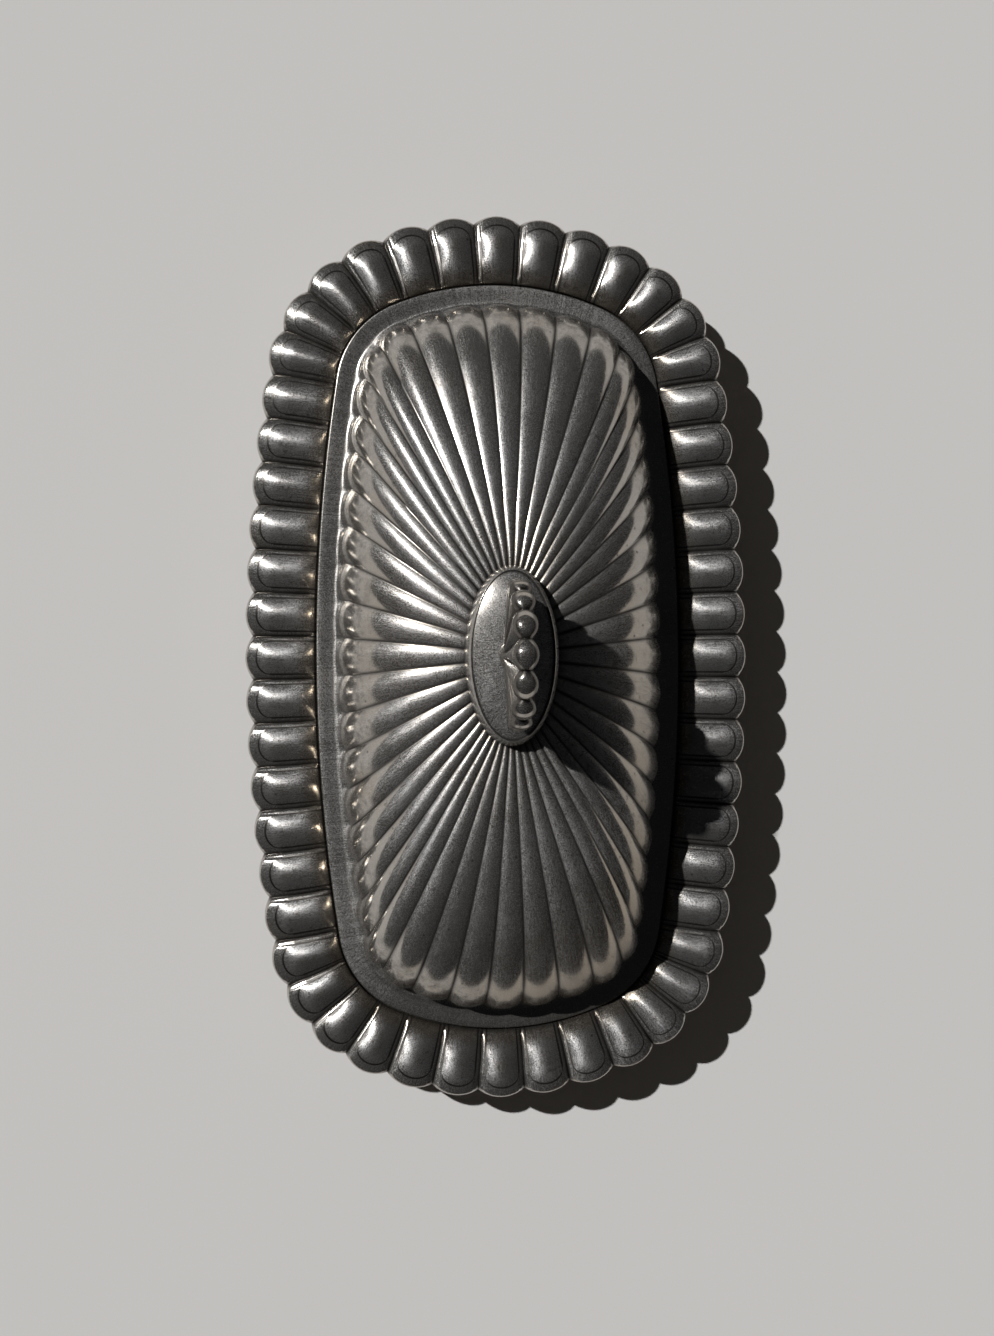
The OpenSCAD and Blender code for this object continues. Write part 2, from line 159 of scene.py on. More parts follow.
class FinialSizes(bpy.types.PropertyGroup):
    """The oval boss, the scallop shell and their fasteners."""

    ring_height: length("Ring height", "Height of the ring round the boss", 4.0 * MM)
    ring_width: length("Ring width", "Width of the ring's top", 0.4 * MM)
    ring_flare: length("Ring flare", "Slope of the ring's outer side", 1.1 * MM)
    ring_step: length("Ring step", "Step from the ring down to the dome", 0.2 * MM)
    pad_share: share("Pad share", "Share of the dome that is flat under the shell", 0.3)
    dome_power: share("Dome fullness", "Power of the dome's curve, where 2 is a parabola", 1.8)
    hole: length("Hole", "Radius of the hole for the stud", 1.7 * MM)
    ribs: IntProperty(name="Ribs", description="Ribs of the shell", default=11)
    shell_thick: length("Shell thickness", "Thickness over the middle rib", 5.3 * MM)
    shell_end: length("Shell end", "Thickness over the end ribs", 3.5 * MM)
    rib_groove: share("Rib groove", "Share of the thickness that the grooves take away", 0.5)
    rib_scallop: length("Rib scallop", "How far the notches cut in from the ribs' tips", 1.2 * MM)
    round_share: share("Round share", "Share of a rib's length at which its tip starts to round off", 0.92)
    foot: length("Foot", "Diameter of the shell's round foot", 6.8 * MM)
    foot_height: length("Foot height", "Height of the round foot", 0.6 * MM)
    knuckle: length("Knuckle", "Diameter at the top of the knuckle", 4.1 * MM)
    knuckle_height: length("Knuckle height", "Height of the knuckle above the foot", 4.7 * MM)
    thread_pitch: length("Thread pitch", "Pitch of the stud's thread", 0.5 * MM)
    thread_depth: length("Thread depth", "Depth of the stud's thread", 0.28 * MM)


class FinishColours(bpy.types.PropertyGroup):
    """Colours of the metal, the glass and the fasteners."""

    silver: colour("Silver", "Clean silver", (0.51, 0.48, 0.435))
    haze: colour("Haze", "Silver under fine scratches", (0.48, 0.475, 0.475))
    tarnish: colour("Tarnish", "Silver with a warm film", (0.44, 0.375, 0.29))
    # The patina colour is also the colour of painted shade: the shadow under the lid's edge, the crease shade
    # round the fingers, the lid's side away from the lamp and the shell's faces
    patina_and_shade: colour("Patina", "Black that gathers in the grooves", (0.055, 0.050, 0.046))
    glass: colour("Glass", "Tint of the liner", (0.90, 0.97, 0.95))
    brass: colour("Brass", "Brass of the fasteners", (0.62, 0.46, 0.20))
    dull_brass: colour("Dull brass", "Brass that has gone brown", (0.36, 0.23, 0.09))


class StageSettings(bpy.types.PropertyGroup):
    """The floor, the lamp and the sky that the metal reflects."""

    floor: colour("Floor", "Colour of the pale floor", (0.600, 0.586, 0.573))
    backdrop: colour("Backdrop", "Colour behind the floor", (0.546, 0.533, 0.521))
    sky: colour("Sky", "Dim light from above", (0.035, 0.032, 0.029))
    gloom: colour("Gloom", "What the metal mirrors overhead", (0.008, 0.009, 0.011))
    lamp: share("Lamp", "Strength of the lamp", 4.0)
    lamp_size: FloatProperty(
        name="Lamp size", description="Angle that the lamp fills", default=math.radians(1.0), subtype="ANGLE"
    )


class ButterDish(bpy.types.PropertyGroup):
    """All the settings of the butter dish."""

    plan: PointerProperty(type=DishPlanSizes)
    tray: PointerProperty(type=TraySizes)
    liner: PointerProperty(type=LinerSizes)
    lid: PointerProperty(type=LidSizes)
    finial: PointerProperty(type=FinialSizes)
    finish: PointerProperty(type=FinishColours)
    stage: PointerProperty(type=StageSettings)


# Grids and meshes

MERGE_WITHIN = 2e-7
CREASE = 50


def mix(a, b, t):
    """Straight blend from a to b."""
    return a + (b - a) * t


def ease(low, high, value):
    """Smooth step from 0 at low to 1 at high."""
    t = np.clip((value - low) / (high - low), 0, 1)
    return t * t * (3 - 2 * t)


def bell(distance, width):
    """Bell curve that is 1 at no distance and about a third at one width."""
    return np.exp(-((distance / width) ** 2))


def column(*values):
    """Values as a column, one to each row of a grid."""
    return np.array(values, float).reshape(-1, 1)


def rows(start, end, steps):
    """Even steps from start to end, as a column."""
    return np.linspace(start, end, steps + 1).reshape(-1, 1)


def quarter(steps):
    """Angles of a quarter turn, in even steps."""
    return np.linspace(0, np.pi / 2, steps + 1)


def around(steps):
    """Angles of a whole turn, in even steps."""
    return np.linspace(0, 2 * np.pi, steps, endpoint=False)


def polar(radius, angle):
    """Places across and along at a radius and an angle."""
    return radius * np.cos(angle), radius * np.sin(angle)


def most(*values):
    """Greatest of the values at each point."""
    return reduce(np.maximum, values)


def stack(columns, *blocks):
    """Stacks blocks of rows. Each block is a tuple of arrays that broadcast to rows by columns."""
    wide = [np.broadcast_arrays(*block, np.zeros((1, columns)))[:-1] for block in blocks]
    return [np.concatenate(parts) for parts in zip(*wide)]


def bow(inset, height, radius, start, end, steps):
    """Rows on an arc about a point of the profile. Inset grows inward and height grows upward."""
    across, up = polar(radius, np.radians(rows(start, end, steps)))
    return inset + across, height + up


def grid_faces(high, wide, loop_rows, loop_columns):
    """Quads between neighbouring points of a grid of high rows by wide columns."""
    here = np.arange(high * wide).reshape(high, wide)
    below = np.roll(here, -1, 0)
    quads = np.stack([here, np.roll(here, -1, 1), np.roll(below, -1, 1), below], -1)
    quads = quads if loop_rows else quads[:-1]
    quads = quads if loop_columns else quads[:, :-1]
    return quads.reshape(-1, 4)


def volume(points, quads):
    """Volume inside a closed skin, which is below zero where its faces point inward."""
    a, b, c, d = (points[quads[:, i]] for i in range(4))
    return np.sum(np.cross(b - a, c - a) * a + np.cross(c - a, d - a) * a) / 6


Skin = namedtuple("Skin", "points faces facts")


def skin(x, y, z, loop_rows=False, loop_columns=True, **facts):
    """Closed skin over a grid of points, with its faces outward. Facts are values kept at each point."""
    points = np.stack(np.broadcast_arrays(x, y, z), -1).reshape(-1, 3)
    faces = grid_faces(*x.shape, loop_rows, loop_columns)
    faces = faces if volume(points, faces) > 0 else faces[:, ::-1]
    flat = {}
    for fact, value in facts.items():
        wide = np.broadcast_to(value, x.shape + np.shape(value)[2:])
        flat[fact] = wide.reshape(len(points), -1)
    return Skin(points, faces, flat)


def make_piece(name, skins, crease=CREASE):
    """Mesh object from one or more skins. Points that coincide at poles and seams are merged."""
    offsets = np.cumsum([0] + [len(s.points) for s in skins[:-1]])
    points = np.concatenate([s.points for s in skins])
    faces = np.concatenate([s.faces + start for s, start in zip(skins, offsets)])
    mesh = bpy.data.meshes.new(name)
    mesh.from_pydata(points.tolist(), [], faces.tolist())
    for fact in skins[0].facts:
        values = np.concatenate([s.facts[fact] for s in skins]).astype(np.float32)
        vector = values.shape[1] == 3
        layer = mesh.attributes.new(fact, "FLOAT_VECTOR" if vector else "FLOAT", "POINT")
        layer.data.foreach_set("vector" if vector else "value", values.ravel())
    shaped = bmesh.new()
    shaped.from_mesh(mesh)
    bmesh.ops.remove_doubles(shaped, verts=shaped.verts, dist=MERGE_WITHIN)
    shaped.to_mesh(mesh)
    shaped.free()
    mesh.shade_smooth()
    mesh.set_sharp_from_angle(angle=math.radians(crease))
    piece = bpy.data.objects.new(name, mesh)
    bpy.context.scene.collection.objects.link(piece)
    return piece


def dress(piece, material, body, node):
    """Gives a piece its material, hangs it from its body's empty and hides the CAD node that it stands in
    for.
    """
    piece.data.materials.append(material)
    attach(piece, body)
    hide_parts(node)


def lay(across, along, up=0.0):
    """Vector at each point of a grid from two or three parts."""
    return np.stack(np.broadcast_arrays(*np.atleast_2d(across, along, up)), -1)


# The plan of the dish

Plan = namedtuple(
    "Plan", "side_c end_c corner_x corner_y side_r corner_r end_r side_a corner_a end_a side_len"
)


def dish_plan(sizes):
    """Arcs of a quarter of the outline. A side arc about (side_c, 0) and an end arc about (0, end_c) are
    tangent to a corner arc, whose centre is as far from each of theirs as the radii differ."""
    side_c = sizes.width / 2 - sizes.side_radius
    end_c = sizes.length / 2 - sizes.end_radius
    side_reach = sizes.side_radius - sizes.corner_radius
    end_reach = sizes.end_radius - sizes.corner_radius
    span = math.hypot(side_c, end_c)
    turn = math.acos((side_reach**2 + span**2 - end_reach**2) / (2 * side_reach * span))
    side_a = math.atan2(end_c, -side_c) + turn
    corner_x = side_c + side_reach * math.cos(side_a)
    corner_y = side_reach * math.sin(side_a)
    end_a = math.atan2(corner_x, corner_y - end_c)
    corner_a = math.pi / 2 - side_a - end_a
    centres = (side_c, end_c, corner_x, corner_y)
    radii = (sizes.side_radius, sizes.corner_radius, sizes.end_radius)
    return Plan(*centres, *radii, side_a, corner_a, end_a, sizes.side_radius * side_a)


def plan_points(plan, place, inset, side_n, end_n, draw=0, even=0):
    """Points of the outline and its outward normals. Place counts lobes from the middle of the +X side. A
    side has side_n of them, drawn towards its middle, and an end has end_n, evenly spaced along the outline
    at the inset even. An inset shortens each radius."""
    per = (side_n + end_n) / 2
    turn = np.mod(place, 4 * per)
    leg = np.floor(turn / per)
    step = np.where(leg % 2 == 0, turn - leg * per, (leg + 1) * per - turn)
    bend = plan.corner_a * (plan.corner_r - even)
    close = plan.end_a * (plan.end_r - even)
    side_run = np.clip(step / (side_n / 2), 0, 1) * (plan.side_len - draw)
    end_run = np.clip((step - side_n / 2) / (end_n / 2), 0, 1) * (draw + bend + close)
    on_side = (side_run + np.minimum(end_run, draw)) / plan.side_len
    on_corner = np.clip((end_run - draw) / bend, 0, 1)
    on_end = np.clip((end_run - draw - bend) / close, 0, 1)
    angle = on_side * plan.side_a + on_corner * plan.corner_a + on_end * plan.end_a
    arcs = [on_end > 0, on_corner > 0]
    centre_x = np.select(arcs, [0, plan.corner_x], plan.side_c)
    centre_y = np.select(arcs, [plan.end_c, plan.corner_y], 0)
    radius = np.select(arcs, [plan.end_r, plan.corner_r], plan.side_r)
    right = np.where((leg == 1) | (leg == 2), -1, 1)
    ahead = np.where(leg < 2, 1, -1)
    x = right * (centre_x + (radius - inset) * np.cos(angle))
    y = ahead * (centre_y + (radius - inset) * np.sin(angle))
    return x, y, right * np.cos(angle), ahead * np.sin(angle)


# The tray

FINGER_STEPS = 7
STRIP_STEPS = 3
INNER_STEPS = 13
OUTER_STEPS = 16
BAND_STEPS = 10
UNDER_STEPS = 8
FILLET_STEPS = 4
TRAY_PITCH = 9.6 * MM
FAR = 9.0
SLIP = 1e-9

# Powers and shares that shape the lobes, the band, the step up from the seat, the lip and the hollow under
BASE_POWER = 3
NOTCH_POWER = 6
BAND_SLOPE = 0.25
BAND_BEND = 0.18
BAND_EDGE = 0.8
BAND_START = (0.03, 0.07, 0.11)
STEP_LEAN = (0, 0.3)
STEP_RISE = (0.7, 0.95)
LIP_IN = (0.1, 0.3, 0.8)
LIP_UP = (2, 0.6, 0)
UNDER_SPREAD = 1.15

# Where the tray is black, rubbed, worn and soiled. The line round each finger's foot is patina with painted
# crease shade, and the black from just outside the lid's flange inward is a painted shadow
LINE_DARK = (0.1 * MM, 0.36 * MM)
NOTCH_DARK = 0.5 * MM
LID_SHADOW_RAMP = 1.6 * MM
LID_SHADOW_BLACK = 0.75
CREST_RUB = (0.5, 1)
INNER_RUB = (10 * MM, 15 * MM)
CREST_WORN = (0.3, 0.9)
INNER_SOIL = (11 * MM, 15.5 * MM)
INNER_GRIME = 0.6


def lobe_places(tray):
    """Places across one lobe, from -1 at a notch through 0 at the crest, close together at the finger's
    sides."""
    finger = tray.finger_share * np.sin(quarter(FINGER_STEPS))
    strip = np.linspace(tray.finger_share, 1, STRIP_STEPS + 1)[1:]
    half = np.concatenate([finger, strip])
    return np.concatenate([-half[:0:-1], half[:-1]])


def finger_foot(tray, w):
    """Inset of a finger's outline: a superellipse round its outer end, then its straight side."""
    across = np.clip(np.abs(w) / tray.finger_share, 0, 1)
    return tray.band_width + tray.finger_end * (1 - (1 - across**tray.fullness) ** (1 / tray.fullness))


def lobe_height(tray, inset, w):
    """Top of a lobe: a base with a groove at the notch, and on it a finger whose arch falls as a power of the
    share of the way to its superellipse outline. The crest sags a little outward and falls as a parabola
    inward."""
    outward = np.clip((tray.crest_inset - inset) / (tray.crest_inset - tray.band_width), 0, 1)
    inward = np.clip((inset - tray.crest_inset) / (tray.rim_width - tray.crest_inset), 0, 1)
    crest = tray.crest_height - tray.end_sag * outward**2
    crest = crest - (tray.crest_height - tray.inner_height) * inward**2
    strip = np.clip((np.abs(w) - tray.finger_share) / (1 - tray.finger_share), 0, 1)
    base = mix(tray.band_height, tray.inner_height, inward**BASE_POWER)
    base = base - tray.notch * strip**2 * (1 - inward**NOTCH_POWER)
    across = np.clip(np.abs(w) / tray.finger_share, 0, 1) ** tray.fullness
    end = np.clip((tray.band_width + tray.finger_end - inset) / tray.finger_end, 0, 1) ** tray.fullness
    arch = 1 - np.clip(across + end, 0, 1) ** (tray.arch / tray.fullness)
    return base + (crest - base) * arch


def band_fall(tray, m):
    """Fall of the band, a share m of the way out: a slope that steepens evenly, and a quarter ellipse at the
    edge."""
    slope = tray.band_width * (BAND_SLOPE * m + BAND_BEND * m**2)
    rest = tray.band_drop - tray.band_width * (BAND_SLOPE + BAND_BEND)
    edge = np.clip((m - BAND_EDGE) / (1 - BAND_EDGE), 0, 1)
    return slope + rest * (1 - np.sqrt(1 - edge**2))


def tray_rows(tray, metal, w):
    """Insets, heights and shares of the way out from the middle, from the well's floor over the lobes to the
    lip, and back under the rim to the foot."""
    foot = finger_foot(tray, w)
    edge = tray.scallop * w**2
    r = tray.edge_round
    step = r / 2
    fillet = tray.well_fillet
    floor = tray.well_inset + tray.well_draw + fillet
    floor_in, floor_up = bow(floor, metal + fillet, fillet, -90, -180, FILLET_STEPS)
    seat_in, seat_up = bow(tray.well_inset - r, tray.seat_height - r, r, 0, 90, FILLET_STEPS)
    heel_in, heel_up = bow(floor - metal, fillet, fillet, -180, -90, FILLET_STEPS)
    step_in = tray.rim_width - column(*STEP_LEAN) * step
    step_up = mix(tray.seat_height, tray.inner_height, column(*STEP_RISE))
    inner = mix(tray.rim_width - step, tray.crest_inset, rows(0, 1, INNER_STEPS))
    outer = mix(foot, tray.crest_inset, rows(1, 0, OUTER_STEPS)[1:] ** 2)
    m = np.concatenate([BAND_START, np.sin(quarter(BAND_STEPS)[1:])]).reshape(-1, 1)
    band_up = lobe_height(tray, foot, w) - band_fall(tray, m)
    under = mix(foot + metal, tray.rim_width - metal, rows(0, 1, UNDER_STEPS))
    spread = np.clip(np.abs(w) * UNDER_SPREAD, 0, 1)
    return stack(
        len(w),
        (column(floor), metal, column(0, 0.5)),
        (floor_in, floor_up, 1),
        (seat_in, seat_up, 1),
        (column(tray.rim_width), tray.seat_height, 1),
        (step_in, step_up, 1),
        (inner, lobe_height(tray, inner, w), 1),
        (outer, lobe_height(tray, outer, w), 1),
        (mix(foot, edge, m), band_up, 1),
        (edge + column(*LIP_IN) * step, tray.lip_height + column(*LIP_UP) * step, 1),
        (edge + step + metal, column(tray.lip_height), 1),
        (under, lobe_height(tray, under - metal, spread) - metal, 1),
        (column(tray.rim_width, tray.well_inset - metal), tray.seat_height - metal, 1),
        (heel_in, heel_up, 1),
        (heel_in[-1:], column(0), column(0.5, 0)),
    )


def rim_line(off):
    """Darkness of the line round a finger, patina with painted crease shade: full close to its foot, and soon
    gone.
    """
    return 1 - ease(*LINE_DARK, np.abs(off))


def tray_skin(plan, tray, metal):
    """The tray: rows of one profile carried round the outline, lobe by lobe."""
    across = lobe_places(tray)
    lobes = 2 * (tray.side_lobes + tray.end_lobes)
    w = np.tile(across, lobes)
    place = np.repeat(np.arange(lobes), len(across)) + w / 2
    inset, height, out = tray_rows(tray, metal, w)
    x, y, out_x, out_y = plan_points(plan, place, inset, tray.side_lobes, tray.end_lobes, tray.lobe_draw)
    half = TRAY_PITCH / 2
    foot = finger_foot(tray, w)
    ahead = np.where(np.abs(w) > tray.finger_share, FAR, inset - foot)
    beside = np.where(inset < foot - SLIP, FAR, (np.abs(w) - tray.finger_share) * half)
    notch = bell((1 - np.abs(w)) * half, NOTCH_DARK)
    # Painted shadow under the lid's edge: black from just outside the flange inward, over the seat and the
    # well
    seat = ease(tray.rim_width - LID_SHADOW_RAMP, tray.rim_width, inset)
    over_band = (height - tray.band_height) / (tray.crest_height - tray.band_height)
    over_end = (height - tray.inner_height) / (tray.crest_height - tray.inner_height)
    in_well = (inset >= tray.well_inset)[..., None]
    facts = dict(
        patina_and_shade=most(rim_line(ahead), rim_line(beside), notch, LID_SHADOW_BLACK * seat),
        rub=most(ease(*CREST_RUB, over_band), ease(*INNER_RUB, inset)),
        worn=ease(*CREST_WORN, over_end),
        soil=INNER_GRIME * ease(*INNER_SOIL, inset),
        lie=lay(place * TRAY_PITCH, inset),
        brush=np.where(in_well, lay(0, 1), lay(out_x, out_y)),
    )
    return skin(x * out, y * out, height, **facts)


# The liner

LINER_STEP = 0.25
TROUGH_STEPS = 6
GLASS_STEPS = 5


def liner_skin(plan, tray, liner):
    """The liner: a trough whose profile of straight walls, fillets and a rounded rim is carried round the
    plan."""
    place = np.arange(0, 2 * (tray.side_lobes + tray.end_lobes), LINER_STEP)
    low, top = LINER_LOW.z, LINER_HIGH.z
    inside = liner.inset + liner.glass
    r = liner.rim_round
    fillet = liner.fillet
    bevel = liner.bevel
    floor = low + liner.glass + fillet
    trough_in, trough_up = bow(inside + liner.draw + fillet, floor, fillet, -90, -180, TROUGH_STEPS)
    inner_in, inner_up = bow(inside - r, top - r, r, 0, 90, GLASS_STEPS)
    outer_in, outer_up = bow(liner.inset + r, top - r, r, 90, 180, GLASS_STEPS)
    foot_in, foot_up = bow(liner.inset + liner.draw + bevel, low + bevel, bevel, 180, 270, GLASS_STEPS)
    inset, height, out = stack(
        len(place),
        (trough_in[:1], trough_up[:1], column(0, 0.5)),
        (trough_in, trough_up, 1),
        (inner_in, inner_up, 1),
        (outer_in, outer_up, 1),
        (foot_in, foot_up, 1),
        (foot_in[-1:], foot_up[-1:], column(0.5, 0)),
    )
    x, y, _, _ = plan_points(plan, place, inset, tray.side_lobes, tray.end_lobes, tray.lobe_draw)
    return skin(x * out, y * out, height)


# The lid

FLUTE_STEPS = 16
VAULT_STEPS = 32
INSIDE_STEPS = 12
COVE_STEPS = 8
FLANGE_STEPS = 3
LID_PITCH = 8.4 * MM
OVAL_DRAW = math.radians(5)
CHANNEL_BOW = 0.5 * MM
CHANNEL_WIDTH = 0.35 * MM
FLANGE_CUT = 0.2

# Where the lid is black, rubbed, worn and soiled, which gathers at the flutes' feet; its shift towards +X and
# -Y, the side away from the lamp, is painted shade
GROOVE_DARK = 0.5 * MM
GROOVE_START = 0.35
GROOVE_SPREAD = 20 * MM
SHADE_SIDE = (10 * MM, 60 * MM)
SHADE_SIDE_TURN = 0.5
SHADE_SIDE_WORN = 0.6
SHADE_SIDE_CLEAN = 0.35
FOOT = (10 * MM, 2 * MM)
SHADED_FOOT_BLACK = 0.45
FOOT_SOIL = 0.7
FOOT_WORN = (0.3, 0.95)
CROWN_RUB = (8 * MM, 30 * MM)
CHANNEL_BLACK = 0.9
FLANGE_BLACK = 0.3
FLANGE_RUB = 0.5
FLANGE_WORN = 0.4
FLANGE_SOIL = 0.4
FLANGE_SLANT = 0.35


def oval_points(lid, place, flutes):
    """Oval just inside the boss's edge. The flutes lie closer together at its ends than along its sides."""
    a = place / flutes * 2 * np.pi
    turned = a + OVAL_DRAW * np.sin(2 * a)
    return (BOSS_HIGH.x - lid.boss_lap) * np.cos(turned), (BOSS_HIGH.y - lid.boss_lap) * np.sin(turned)


def wall_inset(lid):
    """Distance of the lid's wall from the tray's tips."""
    return lid.flange_inset + lid.flange_width


def flute_points(plan, lid, place, inset):
    """Points and normals at an inset from the outline. The flutes are evenly spaced along the wall."""
    return plan_points(plan, place, inset, lid.side_flutes, lid.end_flutes, even=wall_inset(lid))


def flute_groove(lid, t, w):
    """Depth of a flute: a parabola across that deepens as a power of the share t of the way to the wall."""
    return mix(lid.crown_depth, lid.flute_depth, t**lid.flute_power) * w**2


def vault_points(plan, lid, metal, place, t, depth):
    """The vault, t of the way from the oval to the wall. Its rise is the root of 1 minus a power of the share
    of the way out, and depth sinks a point along the normal."""
    spring = LID_LOW.z + metal + lid.wall_height
    full = (LID_HIGH.z - spring) / math.sqrt(1 - lid.crown_share**lid.vault_power)
    wall_x, wall_y, out_x, out_y = flute_points(plan, lid, place, wall_inset(lid))
    oval_x, oval_y = oval_points(lid, place, 2 * (lid.side_flutes + lid.end_flutes))
    r = mix(lid.crown_share, 1, t)
    fall = np.sqrt(np.clip(1 - r**lid.vault_power, 0, 1))
    run = ((wall_x - oval_x) * out_x + (wall_y - oval_y) * out_y) / (1 - lid.crown_share)
    flat = full * lid.vault_power / 2 * r ** (lid.vault_power - 1)
    steep = run * fall
    size = np.hypot(flat, steep)
    x = mix(oval_x, wall_x, t) - depth * flat / size * out_x
    y = mix(oval_y, wall_y, t) - depth * flat / size * out_y
    return x, y, spring + full * fall - depth * steep / size


def lid_skin(plan, lid, finial, metal):
    """The lid, from the stud's hole out over the fluted vault, down the wall, round the cove and the flange,
    and back inside to the hole. A flute is a parabola across, with sharp grooves between."""
    flutes = 2 * (lid.side_flutes + lid.end_flutes)
    w = np.tile(np.linspace(-1, 1, FLUTE_STEPS, endpoint=False), flutes)
    place = np.repeat(np.arange(flutes), FLUTE_STEPS) + w / 2
    wall_in = wall_inset(lid)
    flange_up = LID_LOW.z + metal
    oval_x, oval_y = oval_points(lid, place, flutes)
    hole = np.hypot(oval_x, oval_y) / finial.hole

    t = np.sin(quarter(VAULT_STEPS)).reshape(-1, 1)
    plain_x, plain_y, _ = vault_points(plan, lid, metal, place, t, 0)
    reach = np.hypot(plain_x - oval_x, plain_y - oval_y)
    wall = reach[-1:]
    channel = bell(np.clip(reach - lid.boss_lap - CHANNEL_BOW * (1 - w**2), 0, None), CHANNEL_WIDTH)
    groove = flute_groove(lid, t, w) + lid.channel * channel
    vault = vault_points(plan, lid, metal, place, t, groove)

    turn = np.radians(rows(0, 90, COVE_STEPS))
    cove_in = wall_in - lid.cove * (1 - np.cos(turn)) + lid.flute_depth * w**2 * np.cos(turn) ** 2
    cove_up = flange_up + lid.cove * (1 - np.sin(turn))
    r = lid.flange_edge
    edge_in, edge_up = bow(lid.flange_inset + r, flange_up - r, r, 90, 180, FLANGE_STEPS)
    flange_in, flange_rise = stack(
        len(w),
        (cove_in, cove_up),
        (column((wall_in - lid.cove + lid.flange_inset) / 2), flange_up),
        (edge_in, edge_up),
        (column(lid.flange_inset + FLANGE_CUT * r), LID_LOW.z + r),
        (column(lid.flange_inset + r), LID_LOW.z),
    )
    flange_x, flange_y, _, _ = flute_points(plan, lid, place, flange_in)

    back = np.sin(quarter(INSIDE_STEPS)[::-1]).reshape(-1, 1)
    inner = vault_points(plan, lid, metal, place, back, flute_groove(lid, back, w) + metal)
    x, y, z, along, by_boss = stack(
        len(w),
        (vault[0][:1] / hole, vault[1][:1] / hole, LID_HIGH.z, column(0), 1),
        (*vault, reach, channel),
        (flange_x, flange_y, flange_rise, wall, 0),
        (inner[0][:1], inner[1][:1], LID_LOW.z, 0, 0),
        (*inner, 0, 0),
        (inner[0][-1:] / hole, inner[1][-1:] / hole, LID_HIGH.z - metal, 0, 0),
    )

    row = np.arange(len(x)).reshape(-1, 1)
    on_vault = (row > 0) & (row <= VAULT_STEPS + 1)
    on_flange = row[..., None] >= VAULT_STEPS + COVE_STEPS
    gap = (1 - np.abs(w)) * LID_PITCH / 2 * mix(GROOVE_START, 1, ease(0, GROOVE_SPREAD, along))
    # Painted shade on the side away from the lamp, towards +X and -Y: it blackens the flutes' feet there,
    # warms and hazes the metal, and takes away some grime
    shade_side = ease(*SHADE_SIDE, x - SHADE_SIDE_TURN * y)
    foot = ease(*FOOT, wall - along)
    dark = most(bell(gap, GROOVE_DARK), CHANNEL_BLACK * by_boss, SHADED_FOOT_BLACK * shade_side * foot)
    worn = most(1 - ease(*FOOT_WORN, along / wall), SHADE_SIDE_WORN * shade_side)
    _, _, out_x, out_y = flute_points(plan, lid, place, wall_in)
    round_about = lay(-out_y - FLANGE_SLANT * out_x, out_x - FLANGE_SLANT * out_y)
    down_flute = lay((plain_x[-1:] - oval_x) / wall, (plain_y[-1:] - oval_y) / wall)
    facts = dict(
        patina_and_shade=np.where(on_vault, dark, FLANGE_BLACK),
        rub=np.where(on_vault, most(1 - ease(*CROWN_RUB, along), shade_side), FLANGE_RUB * shade_side),
        worn=np.where(on_vault, worn, FLANGE_WORN),
        soil=np.where(on_vault, (FOOT_SOIL - SHADE_SIDE_CLEAN * shade_side) * foot, FLANGE_SOIL),
        lie=lay(place * LID_PITCH, along),
        brush=np.where(on_flange, round_about, down_flute),
    )
    return skin(x, y, z, loop_rows=True, **facts)


# The finial

BOSS_STEPS = 120
DOME_STEPS = 23
BEAD_STEPS = 8
BEAD_TURN = 150
RING_IN = (0.5, 0.25, 0.08, 0)
RING_UP = (0.72, 0.42, 0.15, 0)
RIB_STEPS = 14
RIB_ROWS = 14
RIB_START = 0.1
RIB_POWER = 2.2
TIP_STEPS = 15
FAN = math.radians(88)
FAN_EDGE = 0.03
FAN_SLIP = 1e-6
EDGE_STEPS = 5
KNUCKLE_ROUND = 48
KNUCKLE_STEPS = 8
KNUCKLE_POWER = 1.4
DOME_SHARE = 0.6
FOOT_FLAT = 0.96
FOOT_EDGE = 0.1 * MM

# Where the finial is black, rubbed, worn and soiled, and the radii that its marks are laid out at. The
# shell's black faces are painted shade
DOME_DARK = 0.35 * MM
BOSS_DARK = 0.3 * MM
BOSS_SOIL = 0.4
BOSS_MEAN = 15 * MM
RIB_DARK = 0.9 * MM
SHELL_FACE_SHADE_FADE = (0.4, 0.75)
SHELL_FACE_SHADE = 0.8
SHELL_RUB = 0.2
SHELL_SOIL = 0.3
SHELL_MEAN = 10 * MM
KNUCKLE_BLACK = 0.3
KNUCKLE_MEAN = 3 * MM
HALF_WORN = 0.5


